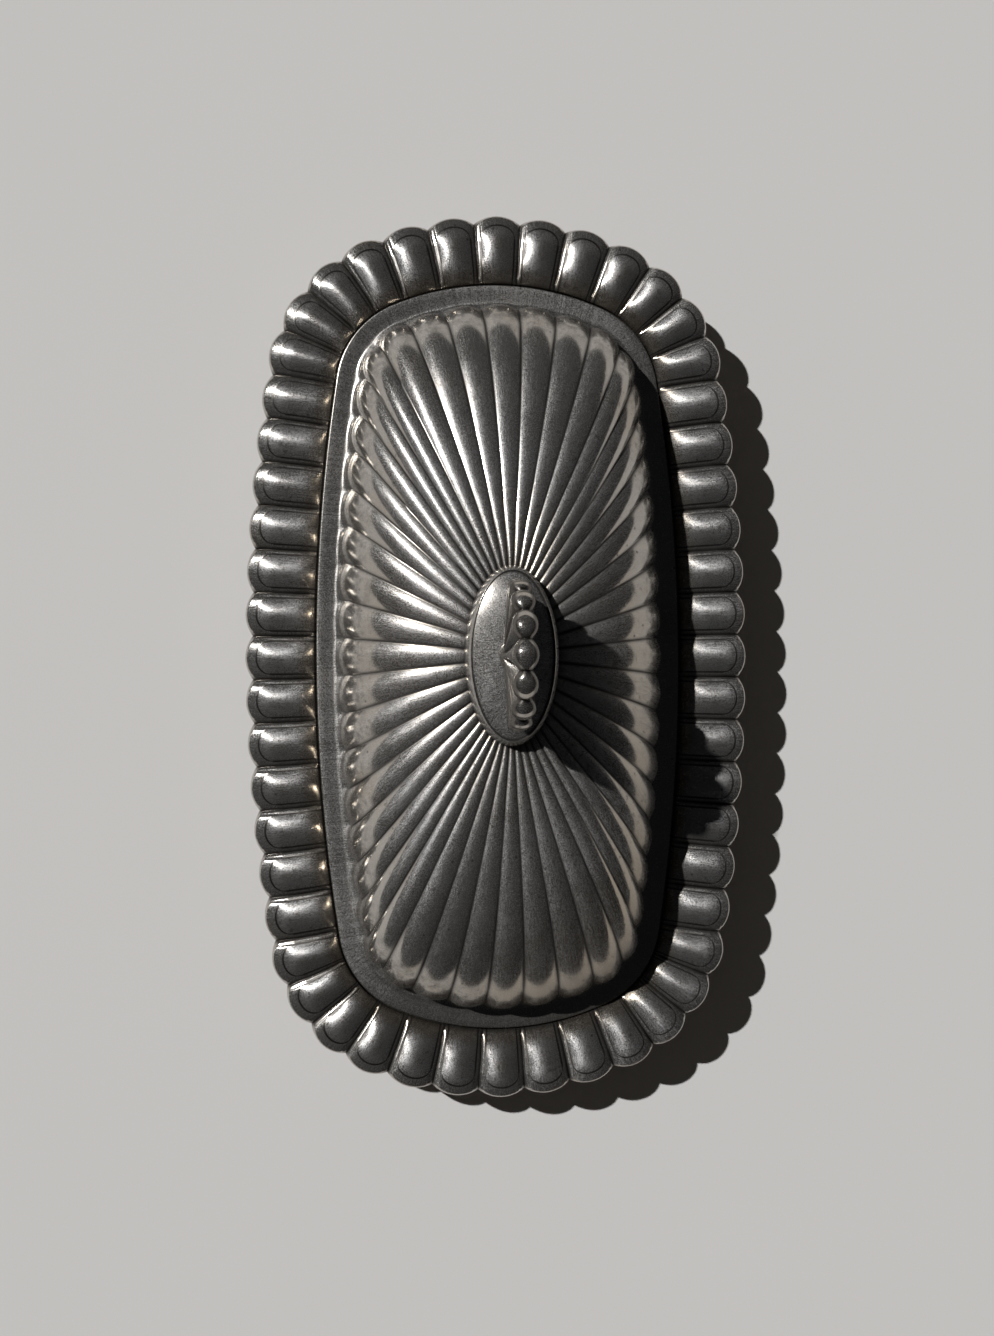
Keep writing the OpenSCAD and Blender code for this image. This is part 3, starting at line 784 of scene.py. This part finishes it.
def boss_skin(finial, lap):
    """The boss: ovals from the stud's hole over a dome, whose fall is a power of the share of the way out, to
    a narrow ring, down its steep side and under."""
    a = around(BOSS_STEPS)
    dome_in = finial.ring_flare + finial.ring_width
    ring_up = BOSS_LOW.z + finial.ring_height
    foot_up = BOSS_LOW.z + finial.ring_step
    q = rows(finial.pad_share, 1, DOME_STEPS)
    rise = (1 - q**finial.dome_power) / (1 - finial.pad_share**finial.dome_power)
    r = finial.ring_width / 2
    bead_in, bead_up = bow(dome_in - r, ring_up - r, r, 0, BEAD_TURN, BEAD_STEPS)
    inset, height = stack(
        len(a),
        (mix(BOSS_HIGH.x, dome_in, q), mix(ring_up - finial.ring_step, BOSS_HIGH.z, rise)),
        (bead_in, bead_up),
        (column(*RING_IN) * finial.ring_flare, mix(foot_up, ring_up, column(*RING_UP))),
        (column(lap), BOSS_LOW.z),
    )
    hole = polar(finial.hole, a)
    x, y, z, deep = stack(
        len(a),
        (*hole, column(BOSS_HIGH.z), 0),
        ((BOSS_HIGH.x - inset) * np.cos(a), (BOSS_HIGH.y - inset) * np.sin(a), height, inset),
        (*hole, column(BOSS_LOW.z), 0),
    )
    facts = dict(
        patina_and_shade=most(bell(deep - dome_in, DOME_DARK), bell(deep, BOSS_DARK)),
        rub=0,
        worn=HALF_WORN,
        soil=BOSS_SOIL,
        lie=lay(a * BOSS_MEAN, deep),
        brush=lay(np.cos(a), np.sin(a)),
    )
    return skin(x, y, z, loop_rows=True, **facts)


def both_faces(face, side=1):
    """Rows of one face of the shell, and then the same rows back along the other."""
    return np.concatenate([face, side * face[-2::-1]])


def fan_skin(finial):
    """The shell's fan, from a hinge out to a circle whose middle is over it. For each angle the section is a
    loop: out along one face, round the rim and back along the other. Thickness falls to the grooves between
    ribs, and the ribs' tips are rounded off as ellipses."""
    hinge = SHELL_LOW.z + finial.foot_height
    wide = SHELL_HIGH.y
    rise = SHELL_HIGH.z - hinge - wide
    steps = finial.ribs * RIB_STEPS
    turn = quarter(EDGE_STEPS)[1:]
    edge = 1 + FAN_EDGE * np.sin(turn)
    a = FAN * np.concatenate([-edge[::-1], np.linspace(-1, 1, steps + 1), edge])
    close = np.concatenate([np.cos(turn[::-1]), np.ones(steps + 1), np.cos(turn)])
    close[[0, -1]] = 0
    w = 2 * np.mod(np.clip((a / FAN + 1) / 2, 0, 1) * finial.ribs, 1) - 1
    w[np.abs(a) >= FAN * (1 - FAN_SLIP)] = 1
    start = finial.round_share
    tip = mix(start, 1, np.sin(quarter(TIP_STEPS))[1:])
    s = np.concatenate([np.linspace(RIB_START, start, RIB_ROWS), tip]).reshape(-1, 1)
    reach = rise * np.cos(a) + np.sqrt(wide**2 - (rise * np.sin(a)) ** 2)
    r = s * (reach - finial.rib_scallop * s * w**2)
    body = mix(finial.shell_thick, finial.shell_end, (a / (np.pi / 2)) ** 2) / 2
    rim = np.sqrt(np.clip(1 - np.clip((s - start) / (1 - start), 0, 1) ** 2, 0, 1))
    half = body * rim * (1 - finial.rib_groove * np.abs(w) ** RIB_POWER) * close
    groove = bell((1 - np.abs(w)) * r * FAN / finial.ribs, RIB_DARK)
    up, along = polar(r, a)
    facts = dict(
        # Black in the grooves is patina; the black over the faces, fading out towards the tips, is painted
        # shade
        patina_and_shade=both_faces(most(groove, SHELL_FACE_SHADE * ease(*SHELL_FACE_SHADE_FADE, rim) * close)),
        rub=SHELL_RUB,
        worn=HALF_WORN,
        soil=SHELL_SOIL,
        lie=lay(a * SHELL_MEAN, both_faces(r)),
        brush=lay(0.0, np.sin(a), np.cos(a)),
    )
    shape = (both_faces(half, -1), both_faces(along), hinge + both_faces(up))
    return skin(*shape, loop_rows=True, loop_columns=False, **facts)


def knuckle_skin(finial):
    """The knuckle where the ribs meet, turned about the upright axis: a round foot that draws in as a power
    of a quarter sine to a small dome."""
    a = around(KNUCKLE_ROUND)
    t = np.linspace(0, 1, KNUCKLE_STEPS + 1)
    dome = quarter(EDGE_STEPS)[1:]
    foot = finial.foot / 2
    neck = finial.knuckle / 2
    top = finial.foot_height + finial.knuckle_height
    waist = mix(foot, neck, np.sin(t * np.pi / 2) ** KNUCKLE_POWER)
    waist_up = mix(finial.foot_height, top, t)
    radius = np.concatenate([[0, foot * FOOT_FLAT, foot], waist, neck * np.cos(dome)])
    height = np.concatenate([[0, 0, FOOT_EDGE], waist_up, top + DOME_SHARE * neck * np.sin(dome)])
    z = SHELL_LOW.z + height.reshape(-1, 1)
    facts = dict(
        patina_and_shade=KNUCKLE_BLACK,
        rub=0,
        worn=HALF_WORN,
        soil=SHELL_SOIL,
        lie=lay(a * KNUCKLE_MEAN, z),
        brush=lay(0.0, 0.0, 1.0),
    )
    return skin(*polar(radius.reshape(-1, 1), a), z, **facts)


# The fasteners

STUD_ROUND = 32
THREAD_ROWS = 6
STUD_BEVEL = 0.4 * MM
WASHER_ROUND = 64
WASHER_EDGE = 0.2 * MM
WASHER_STEPS = 3
NUT_ROUND = 96
NUT_FACE = 0.96
NUT_CONE = math.radians(30)
NUT_BEVEL = 0.25 * MM
NUT_CREASE = 25


def stud_skin(finial):
    """The stud: a rod whose radius falls by a V along a helix, with a bevelled lower end."""
    a = around(STUD_ROUND)
    turns = (STUD_HIGH.z - STUD_LOW.z) / finial.thread_pitch
    z = np.linspace(STUD_LOW.z, STUD_HIGH.z, int(turns * THREAD_ROWS)).reshape(-1, 1)
    wave = np.abs(2 * np.mod(z / finial.thread_pitch - a / (2 * np.pi), 1) - 1)
    bevel = STUD_HIGH.x - STUD_BEVEL + z - STUD_LOW.z
    r = np.minimum(STUD_HIGH.x - finial.thread_depth * wave, bevel)
    r, z = stack(len(a), (column(0), STUD_LOW.z), (r, z), (column(0), STUD_HIGH.z))
    return skin(*polar(r, a), z)


def washer_skin(finial):
    """The washer: a flat ring with rounded edges."""
    a = around(WASHER_ROUND)
    r = WASHER_EDGE
    low = bow(WASHER_HIGH.x - r, WASHER_LOW.z + r, r, -90, 0, WASHER_STEPS)
    top = bow(WASHER_HIGH.x - r, WASHER_HIGH.z - r, r, 0, 90, WASHER_STEPS)
    bore = column(finial.hole)
    radius, z = stack(len(a), (bore, WASHER_LOW.z), low, top, (bore, WASHER_HIGH.z))
    return skin(*polar(radius, a), z, loop_rows=True)


def nut_skin():
    """The nut: a hexagon whose corners are cut back by a cone at each face, with a bore."""
    a = around(NUT_ROUND)
    flat = NUT_HIGH.y
    hexagon = flat / np.cos(np.mod(a - np.pi / 6, np.pi / 3) - np.pi / 6)
    face = NUT_FACE * flat
    cut = (hexagon - face).reshape(1, -1) * math.tan(NUT_CONE)
    bore = STUD_HIGH.x
    low, top = NUT_LOW.z, NUT_HIGH.z
    radius, z = stack(
        len(a),
        (column(bore), low + NUT_BEVEL),
        (column(bore + NUT_BEVEL, face), low),
        (hexagon, low + cut),
        (hexagon, top - cut),
        (column(face, bore + NUT_BEVEL), top),
        (column(bore), top - NUT_BEVEL),
    )
    return skin(*polar(radius, a), z, loop_rows=True)


# Materials

Silver = namedtuple("Silver", "gloss hazy haze brushed")
TRAY_SILVER = Silver(gloss=0.10, hazy=0.33, haze=(0.43, 0.72), brushed=0.75)
LID_SILVER = Silver(gloss=0.12, hazy=0.30, haze=(0.36, 0.66), brushed=0.5)
BOSS_SILVER = Silver(gloss=0.08, hazy=0.28, haze=(0.80, 1.0), brushed=0.0)
SHELL_SILVER = Silver(gloss=0.06, hazy=0.11, haze=(0.4, 0.6), brushed=0.0)
METALLIC = 0.92

# Noise patterns: scale to a metre, finer layers and their strength
PATCHES = (55.0, 4.0, 0.6)
GRAIN = (9000.0, 1.0, 0.5)
STROKES = (6500.0, 1.0, 0.5)
MARKS = (1.0, 2.0, 0.6)
SCRATCHES = (1.0, 2.0, 0.55)
SPECKS = (620.0, 5.0, 0.72)
DENTS = (160.0, 1.0)
PITS = 330.0
GLASS_WAVES = (60.0, 1.0)
GLASS_WEAR = (700.0, 3.0)
GLASS_CLOUDS = (25.0, 2.0)
BRASS_PATCHES = (400.0, 4.0)
TOOL_MARKS = (1.0, 2.0)
PAPER_MOTTLE = (18.0, 3.0)

# Patterns drawn out: scales along three axes, and a turn
MARKS_DRAWN = ((2600.0, 260.0, 1.0), 0.5)
SCRATCHES_DRAWN = ((1500.0, 90.0, 400.0), 0.9)
TOOL_MARKS_DRAWN = ((200.0, 200.0, 9000.0), 0.0)

# Ranges: low and high of what goes in, and of what comes out where that isn't 0 to 1
NOISE_RANGE = (0.3, 0.7)
SPECK_RANGE = (0.58, 0.66)
SPECK_PATCHES = (0.36, 0.58, 0.1, 0.6)
GRIME_RANGE = (0.44, 0.62, 0.1, 0.9)
PIT_RANGE = (0.05, 0.13, 0.8, 0.0)
FILM_RANGE = (0.5, 0.75)
DIRT_AND_SHADE_RANGE = (0.3, 0.7, 0.8, 1.2)
STROKE_RANGE = (0.45, 0.55)
SCRATCH_RANGE = (0.62, 0.72)
GLASS_ROUGH = (0.4, 0.75, 0.02, 0.10)
BRASS_DULL = (0.4, 0.65)
BRASS_ROUGH = (0.0, 1.0, 0.25, 0.5)

# What sways the haze, the grain at which it comes, and the roughness that dirt and painted shade add
PATCH_SWAY = 0.05
MARK_SWAY = 0.04
WORN_SWAY = 0.06
HAZE_MIDDLE = 0.5
HAZE_SPREAD = 0.35
HAZE_EDGE = 0.05
DIRT_AND_SHADE_ROUGH = 0.22

# Bumps: strength and distance
DENT_BUMP = (0.12, 0.8 * MM)
SCRATCH_BUMP = (0.25, 0.02 * MM)
MARK_BUMP = (0.10, 0.04 * MM)
WAVE_BUMP = (0.08, 1.0 * MM)
TOOL_BUMP = (0.2, 0.03 * MM)

GLASS_IOR = 1.5
GLASS_SHADE = 0.97
PAPER_SHADES = (0.992, 1.008)
PAPER_ROUGH = 0.95


class Bench:
    """Adds nodes to a tree. An input given as a socket is linked, and any other is set."""

    def __init__(self, tree):
        self.tree = tree
        tree.nodes.clear()

    def add(self, kind, inputs=None, **settings):
        """Node of a kind."""
        made = self.tree.nodes.new(kind)
        for key, value in settings.items():
            setattr(made, key, value)
        for key, value in (inputs or {}).items():
            if isinstance(value, bpy.types.NodeSocket):
                self.tree.links.new(value, made.inputs[key])
            else:
                made.inputs[key].default_value = value
        return made

    def noise(self, vector, scale, detail=2.0, roughness=0.5):
        """Noise between 0 and 1."""
        inputs = {"Vector": vector, "Scale": scale, "Detail": detail, "Roughness": roughness}
        return self.add("ShaderNodeTexNoise", inputs).outputs["Fac"]

    def span(self, value, low, high, to_low=0.0, to_high=1.0):
        """Straight change from one range to another, held at its ends."""
        inputs = {"Value": value, "From Min": low, "From Max": high, "To Min": to_low, "To Max": to_high}
        return self.add("ShaderNodeMapRange", inputs).outputs["Result"]

    def math(self, operation, a, b):
        """Sum, product or greatest of two values."""
        return self.add("ShaderNodeMath", {0: a, 1: b}, operation=operation).outputs[0]

    def blend(self, factor, a, b):
        """Colour from a to b. A Mix node's colours are its inputs 6 and 7 and its output 2."""
        return self.add("ShaderNodeMix", {0: factor, 6: a, 7: b}, data_type="RGBA").outputs[2]

    def fact(self, name, output="Fac"):
        """Value that the piece keeps at each point."""
        return self.add("ShaderNodeAttribute", attribute_name=name).outputs[output]

    def stretch(self, vector, scale, turn):
        """Places scaled along each axis and turned."""
        made = self.add("ShaderNodeMapping", {"Vector": vector, "Scale": scale, "Rotation": (0, 0, turn)})
        return made.outputs["Vector"]

    def bump(self, height, strength, distance, normal=None):
        """Normal tilted by a height, on top of another normal if there is one."""
        inputs = {"Height": height, "Strength": strength, "Distance": distance}
        if normal is not None:
            inputs["Normal"] = normal
        return self.add("ShaderNodeBump", inputs).outputs["Normal"]

    def coat(self, inputs):
        """The main shader."""
        return self.add("ShaderNodeBsdfPrincipled", inputs).outputs["BSDF"]

    def show(self, shader):
        """Puts a shader on the surface."""
        self.add("ShaderNodeOutputMaterial", {"Surface": shader})


def opaque(rgb, shade=1.0):
    """Colour of a property times a shade, with a full alpha."""
    return (*[part * shade for part in rgb], 1.0)


def finish(name):
    """New material, a bench for its nodes, and the place of each point."""
    material = bpy.data.materials.new(name)
    material.use_nodes = True
    bench = Bench(material.node_tree)
    return material, bench, bench.add("ShaderNodeTexCoord").outputs["Object"]


def old_silver(name, colours, silver):
    """Old silver: a warm mirror under a cooler haze of fine scratches, filmed with tarnish in patches, black
    and dull in its grooves and where the patina_and_shade fact paints shade, with shallow dents, rubbing
    marks, specks and a few pits. Of a Silver, gloss is the mirror's roughness, hazy the share that the haze
    covers, haze its least and most roughness, and brushed how far highlights are drawn out along the piece's
    brush."""
    material, bench, place = finish(name)
    patches = bench.noise(place, *PATCHES)
    specks = bench.noise(place, *SPECKS)
    marks = bench.noise(bench.stretch(bench.fact("lie", "Vector"), *MARKS_DRAWN), *MARKS)
    scratch = bench.noise(bench.stretch(place, *SCRATCHES_DRAWN), *SCRATCHES)
    pits = bench.add("ShaderNodeTexVoronoi", {"Vector": place, "Scale": PITS}).outputs["Distance"]
    film = bench.math("MAXIMUM", bench.span(patches, *FILM_RANGE), bench.fact("rub"))
    # The patina fact holds real patina and painted shade alike; both darken the metal towards the patina
    # colour
    dirt_and_shade = bench.math("MULTIPLY", bench.fact("patina_and_shade"), bench.span(patches, *DIRT_AND_SHADE_RANGE))
    speck = bench.math("MULTIPLY", bench.span(specks, *SPECK_RANGE), bench.span(patches, *SPECK_PATCHES))
    grime = bench.math("MULTIPLY", bench.span(specks, *GRIME_RANGE), bench.fact("soil"))
    for more in (speck, grime, bench.span(pits, *PIT_RANGE)):
        dirt_and_shade = bench.math("MAXIMUM", dirt_and_shade, more)
    wear = bench.noise(place, *GRAIN)
    for sway in (
        bench.span(patches, *NOISE_RANGE, -PATCH_SWAY, PATCH_SWAY),
        bench.span(marks, *NOISE_RANGE, -MARK_SWAY, MARK_SWAY),
        bench.span(bench.fact("worn"), 0.0, 1.0, -WORN_SWAY, WORN_SWAY),
    ):
        wear = bench.math("ADD", wear, sway)
    middle = HAZE_MIDDLE + HAZE_SPREAD * (0.5 - silver.hazy)
    clouded = bench.span(wear, middle - HAZE_EDGE, middle + HAZE_EDGE)
    mirror = bench.blend(film, opaque(colours.silver), opaque(colours.tarnish))
    body = bench.blend(clouded, mirror, opaque(colours.haze))
    scuffed = bench.span(bench.noise(place, *STROKES), *STROKE_RANGE, *silver.haze)
    rough = bench.span(clouded, 0.0, 1.0, silver.gloss, scuffed)
    dents = bench.bump(bench.noise(place, *DENTS), *DENT_BUMP)
    worn = bench.bump(bench.span(scratch, *SCRATCH_RANGE), *SCRATCH_BUMP, dents)
    inputs = {
        "Base Color": bench.blend(dirt_and_shade, body, opaque(colours.patina_and_shade)),
        "Metallic": METALLIC,
        "Roughness": bench.math("ADD", rough, bench.math("MULTIPLY", dirt_and_shade, DIRT_AND_SHADE_ROUGH)),
        "Anisotropic": silver.brushed,
        "Tangent": bench.fact("brush", "Vector"),
        "Normal": bench.bump(marks, *MARK_BUMP, worn),
    }
    bench.show(bench.coat(inputs))
    return material


def pressed_glass(name, tint):
    """Clear pressed glass with faint waves and a haze of fine wear. The lamp's light goes through it."""
    material, bench, place = finish(name)
    clouds = bench.noise(place, *GLASS_CLOUDS)
    inputs = {
        "Base Color": bench.blend(clouds, opaque(tint), opaque(tint, GLASS_SHADE)),
        "Roughness": bench.span(bench.noise(place, *GLASS_WEAR), *GLASS_ROUGH),
        "IOR": GLASS_IOR,
        "Transmission Weight": 1.0,
        "Normal": bench.bump(bench.noise(place, *GLASS_WAVES), *WAVE_BUMP),
    }
    clear = bench.add("ShaderNodeBsdfTransparent", {"Color": opaque(tint)}).outputs["BSDF"]
    to_lamp = bench.add("ShaderNodeLightPath").outputs["Is Shadow Ray"]
    both = bench.add("ShaderNodeMixShader", {0: to_lamp, 1: bench.coat(inputs), 2: clear})
    bench.show(both.outputs["Shader"])
    return material


def plain_brass(name, colours):
    """Turned brass, brown where it has dulled, with fine tool marks."""
    material, bench, place = finish(name)
    dull = bench.span(bench.noise(place, *BRASS_PATCHES), *BRASS_DULL)
    marks = bench.noise(bench.stretch(place, *TOOL_MARKS_DRAWN), *TOOL_MARKS)
    inputs = {
        "Base Color": bench.blend(dull, opaque(colours.brass), opaque(colours.dull_brass)),
        "Metallic": 1.0,
        "Roughness": bench.span(dull, *BRASS_ROUGH),
        "Normal": bench.bump(marks, *TOOL_BUMP),
    }
    bench.show(bench.coat(inputs))
    return material


def pale_paper(name, tone):
    """The floor's smooth matt paper, with a faint mottle."""
    material, bench, place = finish(name)
    mottle = bench.noise(place, *PAPER_MOTTLE)
    inputs = {
        "Base Color": bench.blend(mottle, *[opaque(tone, shade) for shade in PAPER_SHADES]),
        "Roughness": PAPER_ROUGH,
        "Specular IOR Level": 0.0,
    }
    bench.show(bench.coat(inputs))
    return material


# The stage

EYE = (-33.04 * MM, -2.37 * MM, 373.58 * MM)
LOOK = (0.0908, -0.0009, -1.0)
ROLL = 0.0052
FOCAL_PX = 1511.5
PHOTO_HIGH_PX = 1336
SENSOR_MM = 36.0
LAMP_FROM = (-0.618, 0.397, 0.679)
FLOOR_HALF = 3.0
CLIP = (0.01, 50)
HORIZON = 0.03


def place_camera():
    """Camera above the dish, looking almost straight down, with the picture's up along +Y."""
    data = bpy.data.cameras.new("dish_camera")
    data.sensor_fit = "AUTO"
    data.sensor_width = SENSOR_MM
    data.lens = SENSOR_MM * FOCAL_PX / PHOTO_HIGH_PX
    data.clip_start, data.clip_end = CLIP
    camera = bpy.data.objects.new("dish_camera", data)
    back = -Vector(LOOK).normalized()
    right = Vector((math.sin(ROLL), math.cos(ROLL), 0)).cross(back).normalized()
    up = back.cross(right)
    turn = Matrix((right, up, back)).transposed().to_4x4()
    camera.matrix_world = Matrix.Translation(EYE) @ turn
    bpy.context.scene.collection.objects.link(camera)
    bpy.context.scene.camera = camera


def place_lamp(stage):
    """One lamp from the upper left, which throws the photograph's shadows."""
    data = bpy.data.lights.new("key_lamp", "SUN")
    data.energy = stage.lamp
    data.angle = stage.lamp_size
    lamp = bpy.data.objects.new("key_lamp", data)
    lamp.rotation_mode = "QUATERNION"
    lamp.rotation_quaternion = (-Vector(LAMP_FROM)).to_track_quat("-Z", "Y")
    lamp.location = Vector(LAMP_FROM)
    bpy.context.scene.collection.objects.link(lamp)


def paint_sky(stage):
    """A dim sky, pale at the horizon as the floor is, and gloomier where metal mirrors it. The camera sees it
    pale all over, through glass too."""
    world = bpy.data.worlds.new("dim_room")
    world.use_nodes = True
    bpy.context.scene.world = world
    bench = Bench(world.node_tree)
    way = bench.add("ShaderNodeTexCoord").outputs["Generated"]
    rise = bench.add("ShaderNodeSeparateXYZ", {"Vector": way}).outputs["Z"]
    low = bench.span(rise, 0.0, HORIZON, 1.0, 0.0)
    seen = bench.add("ShaderNodeLightPath").outputs
    straight = bench.math("MAXIMUM", seen["Is Camera Ray"], seen["Is Transmission Ray"])
    pale = bench.math("MAXIMUM", low, straight)
    above = bench.blend(seen["Is Glossy Ray"], opaque(stage.sky), opaque(stage.gloom))
    shade = bench.blend(pale, above, opaque(stage.backdrop))
    glow = bench.add("ShaderNodeBackground", {"Color": shade, "Strength": 1.0})
    bench.add("ShaderNodeOutputWorld", {"Surface": glow.outputs["Background"]})


class BUTTERDISH_OT_stage(bpy.types.Operator):
    """Set up the camera, the lamp, the sky and the pale floor"""

    bl_idname = "butter_dish.stage"
    bl_label = "Stage"

    def execute(self, context):
        stage = context.scene.butter_dish.stage
        context.scene.view_settings.view_transform = "Standard"
        place_camera()
        place_lamp(stage)
        paint_sky(stage)
        mesh = bpy.data.meshes.new("pale_floor")
        h = FLOOR_HALF
        mesh.from_pydata([(-h, -h, 0), (h, -h, 0), (h, h, 0), (-h, h, 0)], [], [(0, 1, 2, 3)])
        floor = bpy.data.objects.new("pale_floor", mesh)
        mesh.materials.append(pale_paper("pale_paper", stage.floor))
        context.scene.collection.objects.link(floor)
        return {"FINISHED"}


class BUTTERDISH_OT_tray(bpy.types.Operator):
    """Build the lobed tray"""

    bl_idname = "butter_dish.tray"
    bl_label = "Tray"

    def execute(self, context):
        dish = context.scene.butter_dish
        tray = make_piece("lobed_tray", [tray_skin(dish_plan(dish.plan), dish.tray, dish.plan.metal)])
        metal = old_silver("tray_silver", dish.finish, TRAY_SILVER)
        dress(tray, metal, "tray", "tray")
        return {"FINISHED"}


class BUTTERDISH_OT_liner(bpy.types.Operator):
    """Build the loose glass liner"""

    bl_idname = "butter_dish.liner"
    bl_label = "Liner"

    def execute(self, context):
        dish = context.scene.butter_dish
        liner = make_piece("glass_liner", [liner_skin(dish_plan(dish.plan), dish.tray, dish.liner)])
        dress(liner, pressed_glass("pressed_glass", dish.finish.glass), "liner", "liner")
        return {"FINISHED"}


class BUTTERDISH_OT_lid(bpy.types.Operator):
    """Build the fluted lid"""

    bl_idname = "butter_dish.lid"
    bl_label = "Lid"

    def execute(self, context):
        dish = context.scene.butter_dish
        plan = dish_plan(dish.plan)
        lid = make_piece("fluted_lid", [lid_skin(plan, dish.lid, dish.finial, dish.plan.metal)])
        metal = old_silver("lid_silver", dish.finish, LID_SILVER)
        dress(lid, metal, "lid", "lid")
        return {"FINISHED"}


class BUTTERDISH_OT_finial(bpy.types.Operator):
    """Build the oval boss and the scallop shell that stands on it"""

    bl_idname = "butter_dish.finial"
    bl_label = "Finial"

    def execute(self, context):
        dish = context.scene.butter_dish
        boss = make_piece("oval_boss", [boss_skin(dish.finial, dish.lid.boss_lap)])
        satin = old_silver("boss_silver", dish.finish, BOSS_SILVER)
        dress(boss, satin, "lid", "finial_boss")
        shell = make_piece("scallop_shell", [fan_skin(dish.finial), knuckle_skin(dish.finial)])
        dark = old_silver("shell_silver", dish.finish, SHELL_SILVER)
        dress(shell, dark, "lid", "shell_finial")
        return {"FINISHED"}


class BUTTERDISH_OT_fasteners(bpy.types.Operator):
    """Build the stud, the washer and the nut inside the lid"""

    bl_idname = "butter_dish.fasteners"
    bl_label = "Fasteners"

    def execute(self, context):
        dish = context.scene.butter_dish
        brass = plain_brass("turned_brass", dish.finish)
        stud = make_piece("threaded_stud", [stud_skin(dish.finial)])
        washer = make_piece("round_washer", [washer_skin(dish.finial)])
        nut = make_piece("hex_nut", [nut_skin()], NUT_CREASE)
        dress(stud, brass, "lid", "finial_stud")
        dress(washer, brass, "lid", "finial_washer")
        dress(nut, brass, "lid", "finial_nut")
        return {"FINISHED"}


OPERATORS = (
    BUTTERDISH_OT_stage,
    BUTTERDISH_OT_tray,
    BUTTERDISH_OT_liner,
    BUTTERDISH_OT_lid,
    BUTTERDISH_OT_finial,
    BUTTERDISH_OT_fasteners,
)


class BUTTERDISH_PT_panel(bpy.types.Panel):
    """Lists the butter dish's pieces in the sidebar"""

    bl_idname = "BUTTERDISH_PT_panel"
    bl_label = "Butter Dish"
    bl_space_type = "VIEW_3D"
    bl_region_type = "UI"
    bl_category = "Butter Dish"

    def draw(self, context):
        for operator in OPERATORS:
            self.layout.operator(operator.bl_idname)
        dish = context.scene.butter_dish
        for group in (dish.plan, dish.tray, dish.liner, dish.lid, dish.finial, dish.finish, dish.stage):
            box = self.layout.box()
            for key in group.__annotations__:
                box.prop(group, key)


CLASSES = (
    DishPlanSizes,
    TraySizes,
    LinerSizes,
    LidSizes,
    FinialSizes,
    FinishColours,
    StageSettings,
    ButterDish,
    *OPERATORS,
    BUTTERDISH_PT_panel,
)


def register():
    for each in CLASSES:
        bpy.utils.register_class(each)
    bpy.types.Scene.butter_dish = PointerProperty(type=ButterDish)


def unregister():
    del bpy.types.Scene.butter_dish
    for each in reversed(CLASSES):
        bpy.utils.unregister_class(each)


def main():
    """Builds the stage and every piece."""
    register()
    bpy.ops.butter_dish.stage()
    bpy.ops.butter_dish.tray()
    bpy.ops.butter_dish.liner()
    bpy.ops.butter_dish.lid()
    bpy.ops.butter_dish.finial()
    bpy.ops.butter_dish.fasteners()


if __name__ == "__main__":
    main()
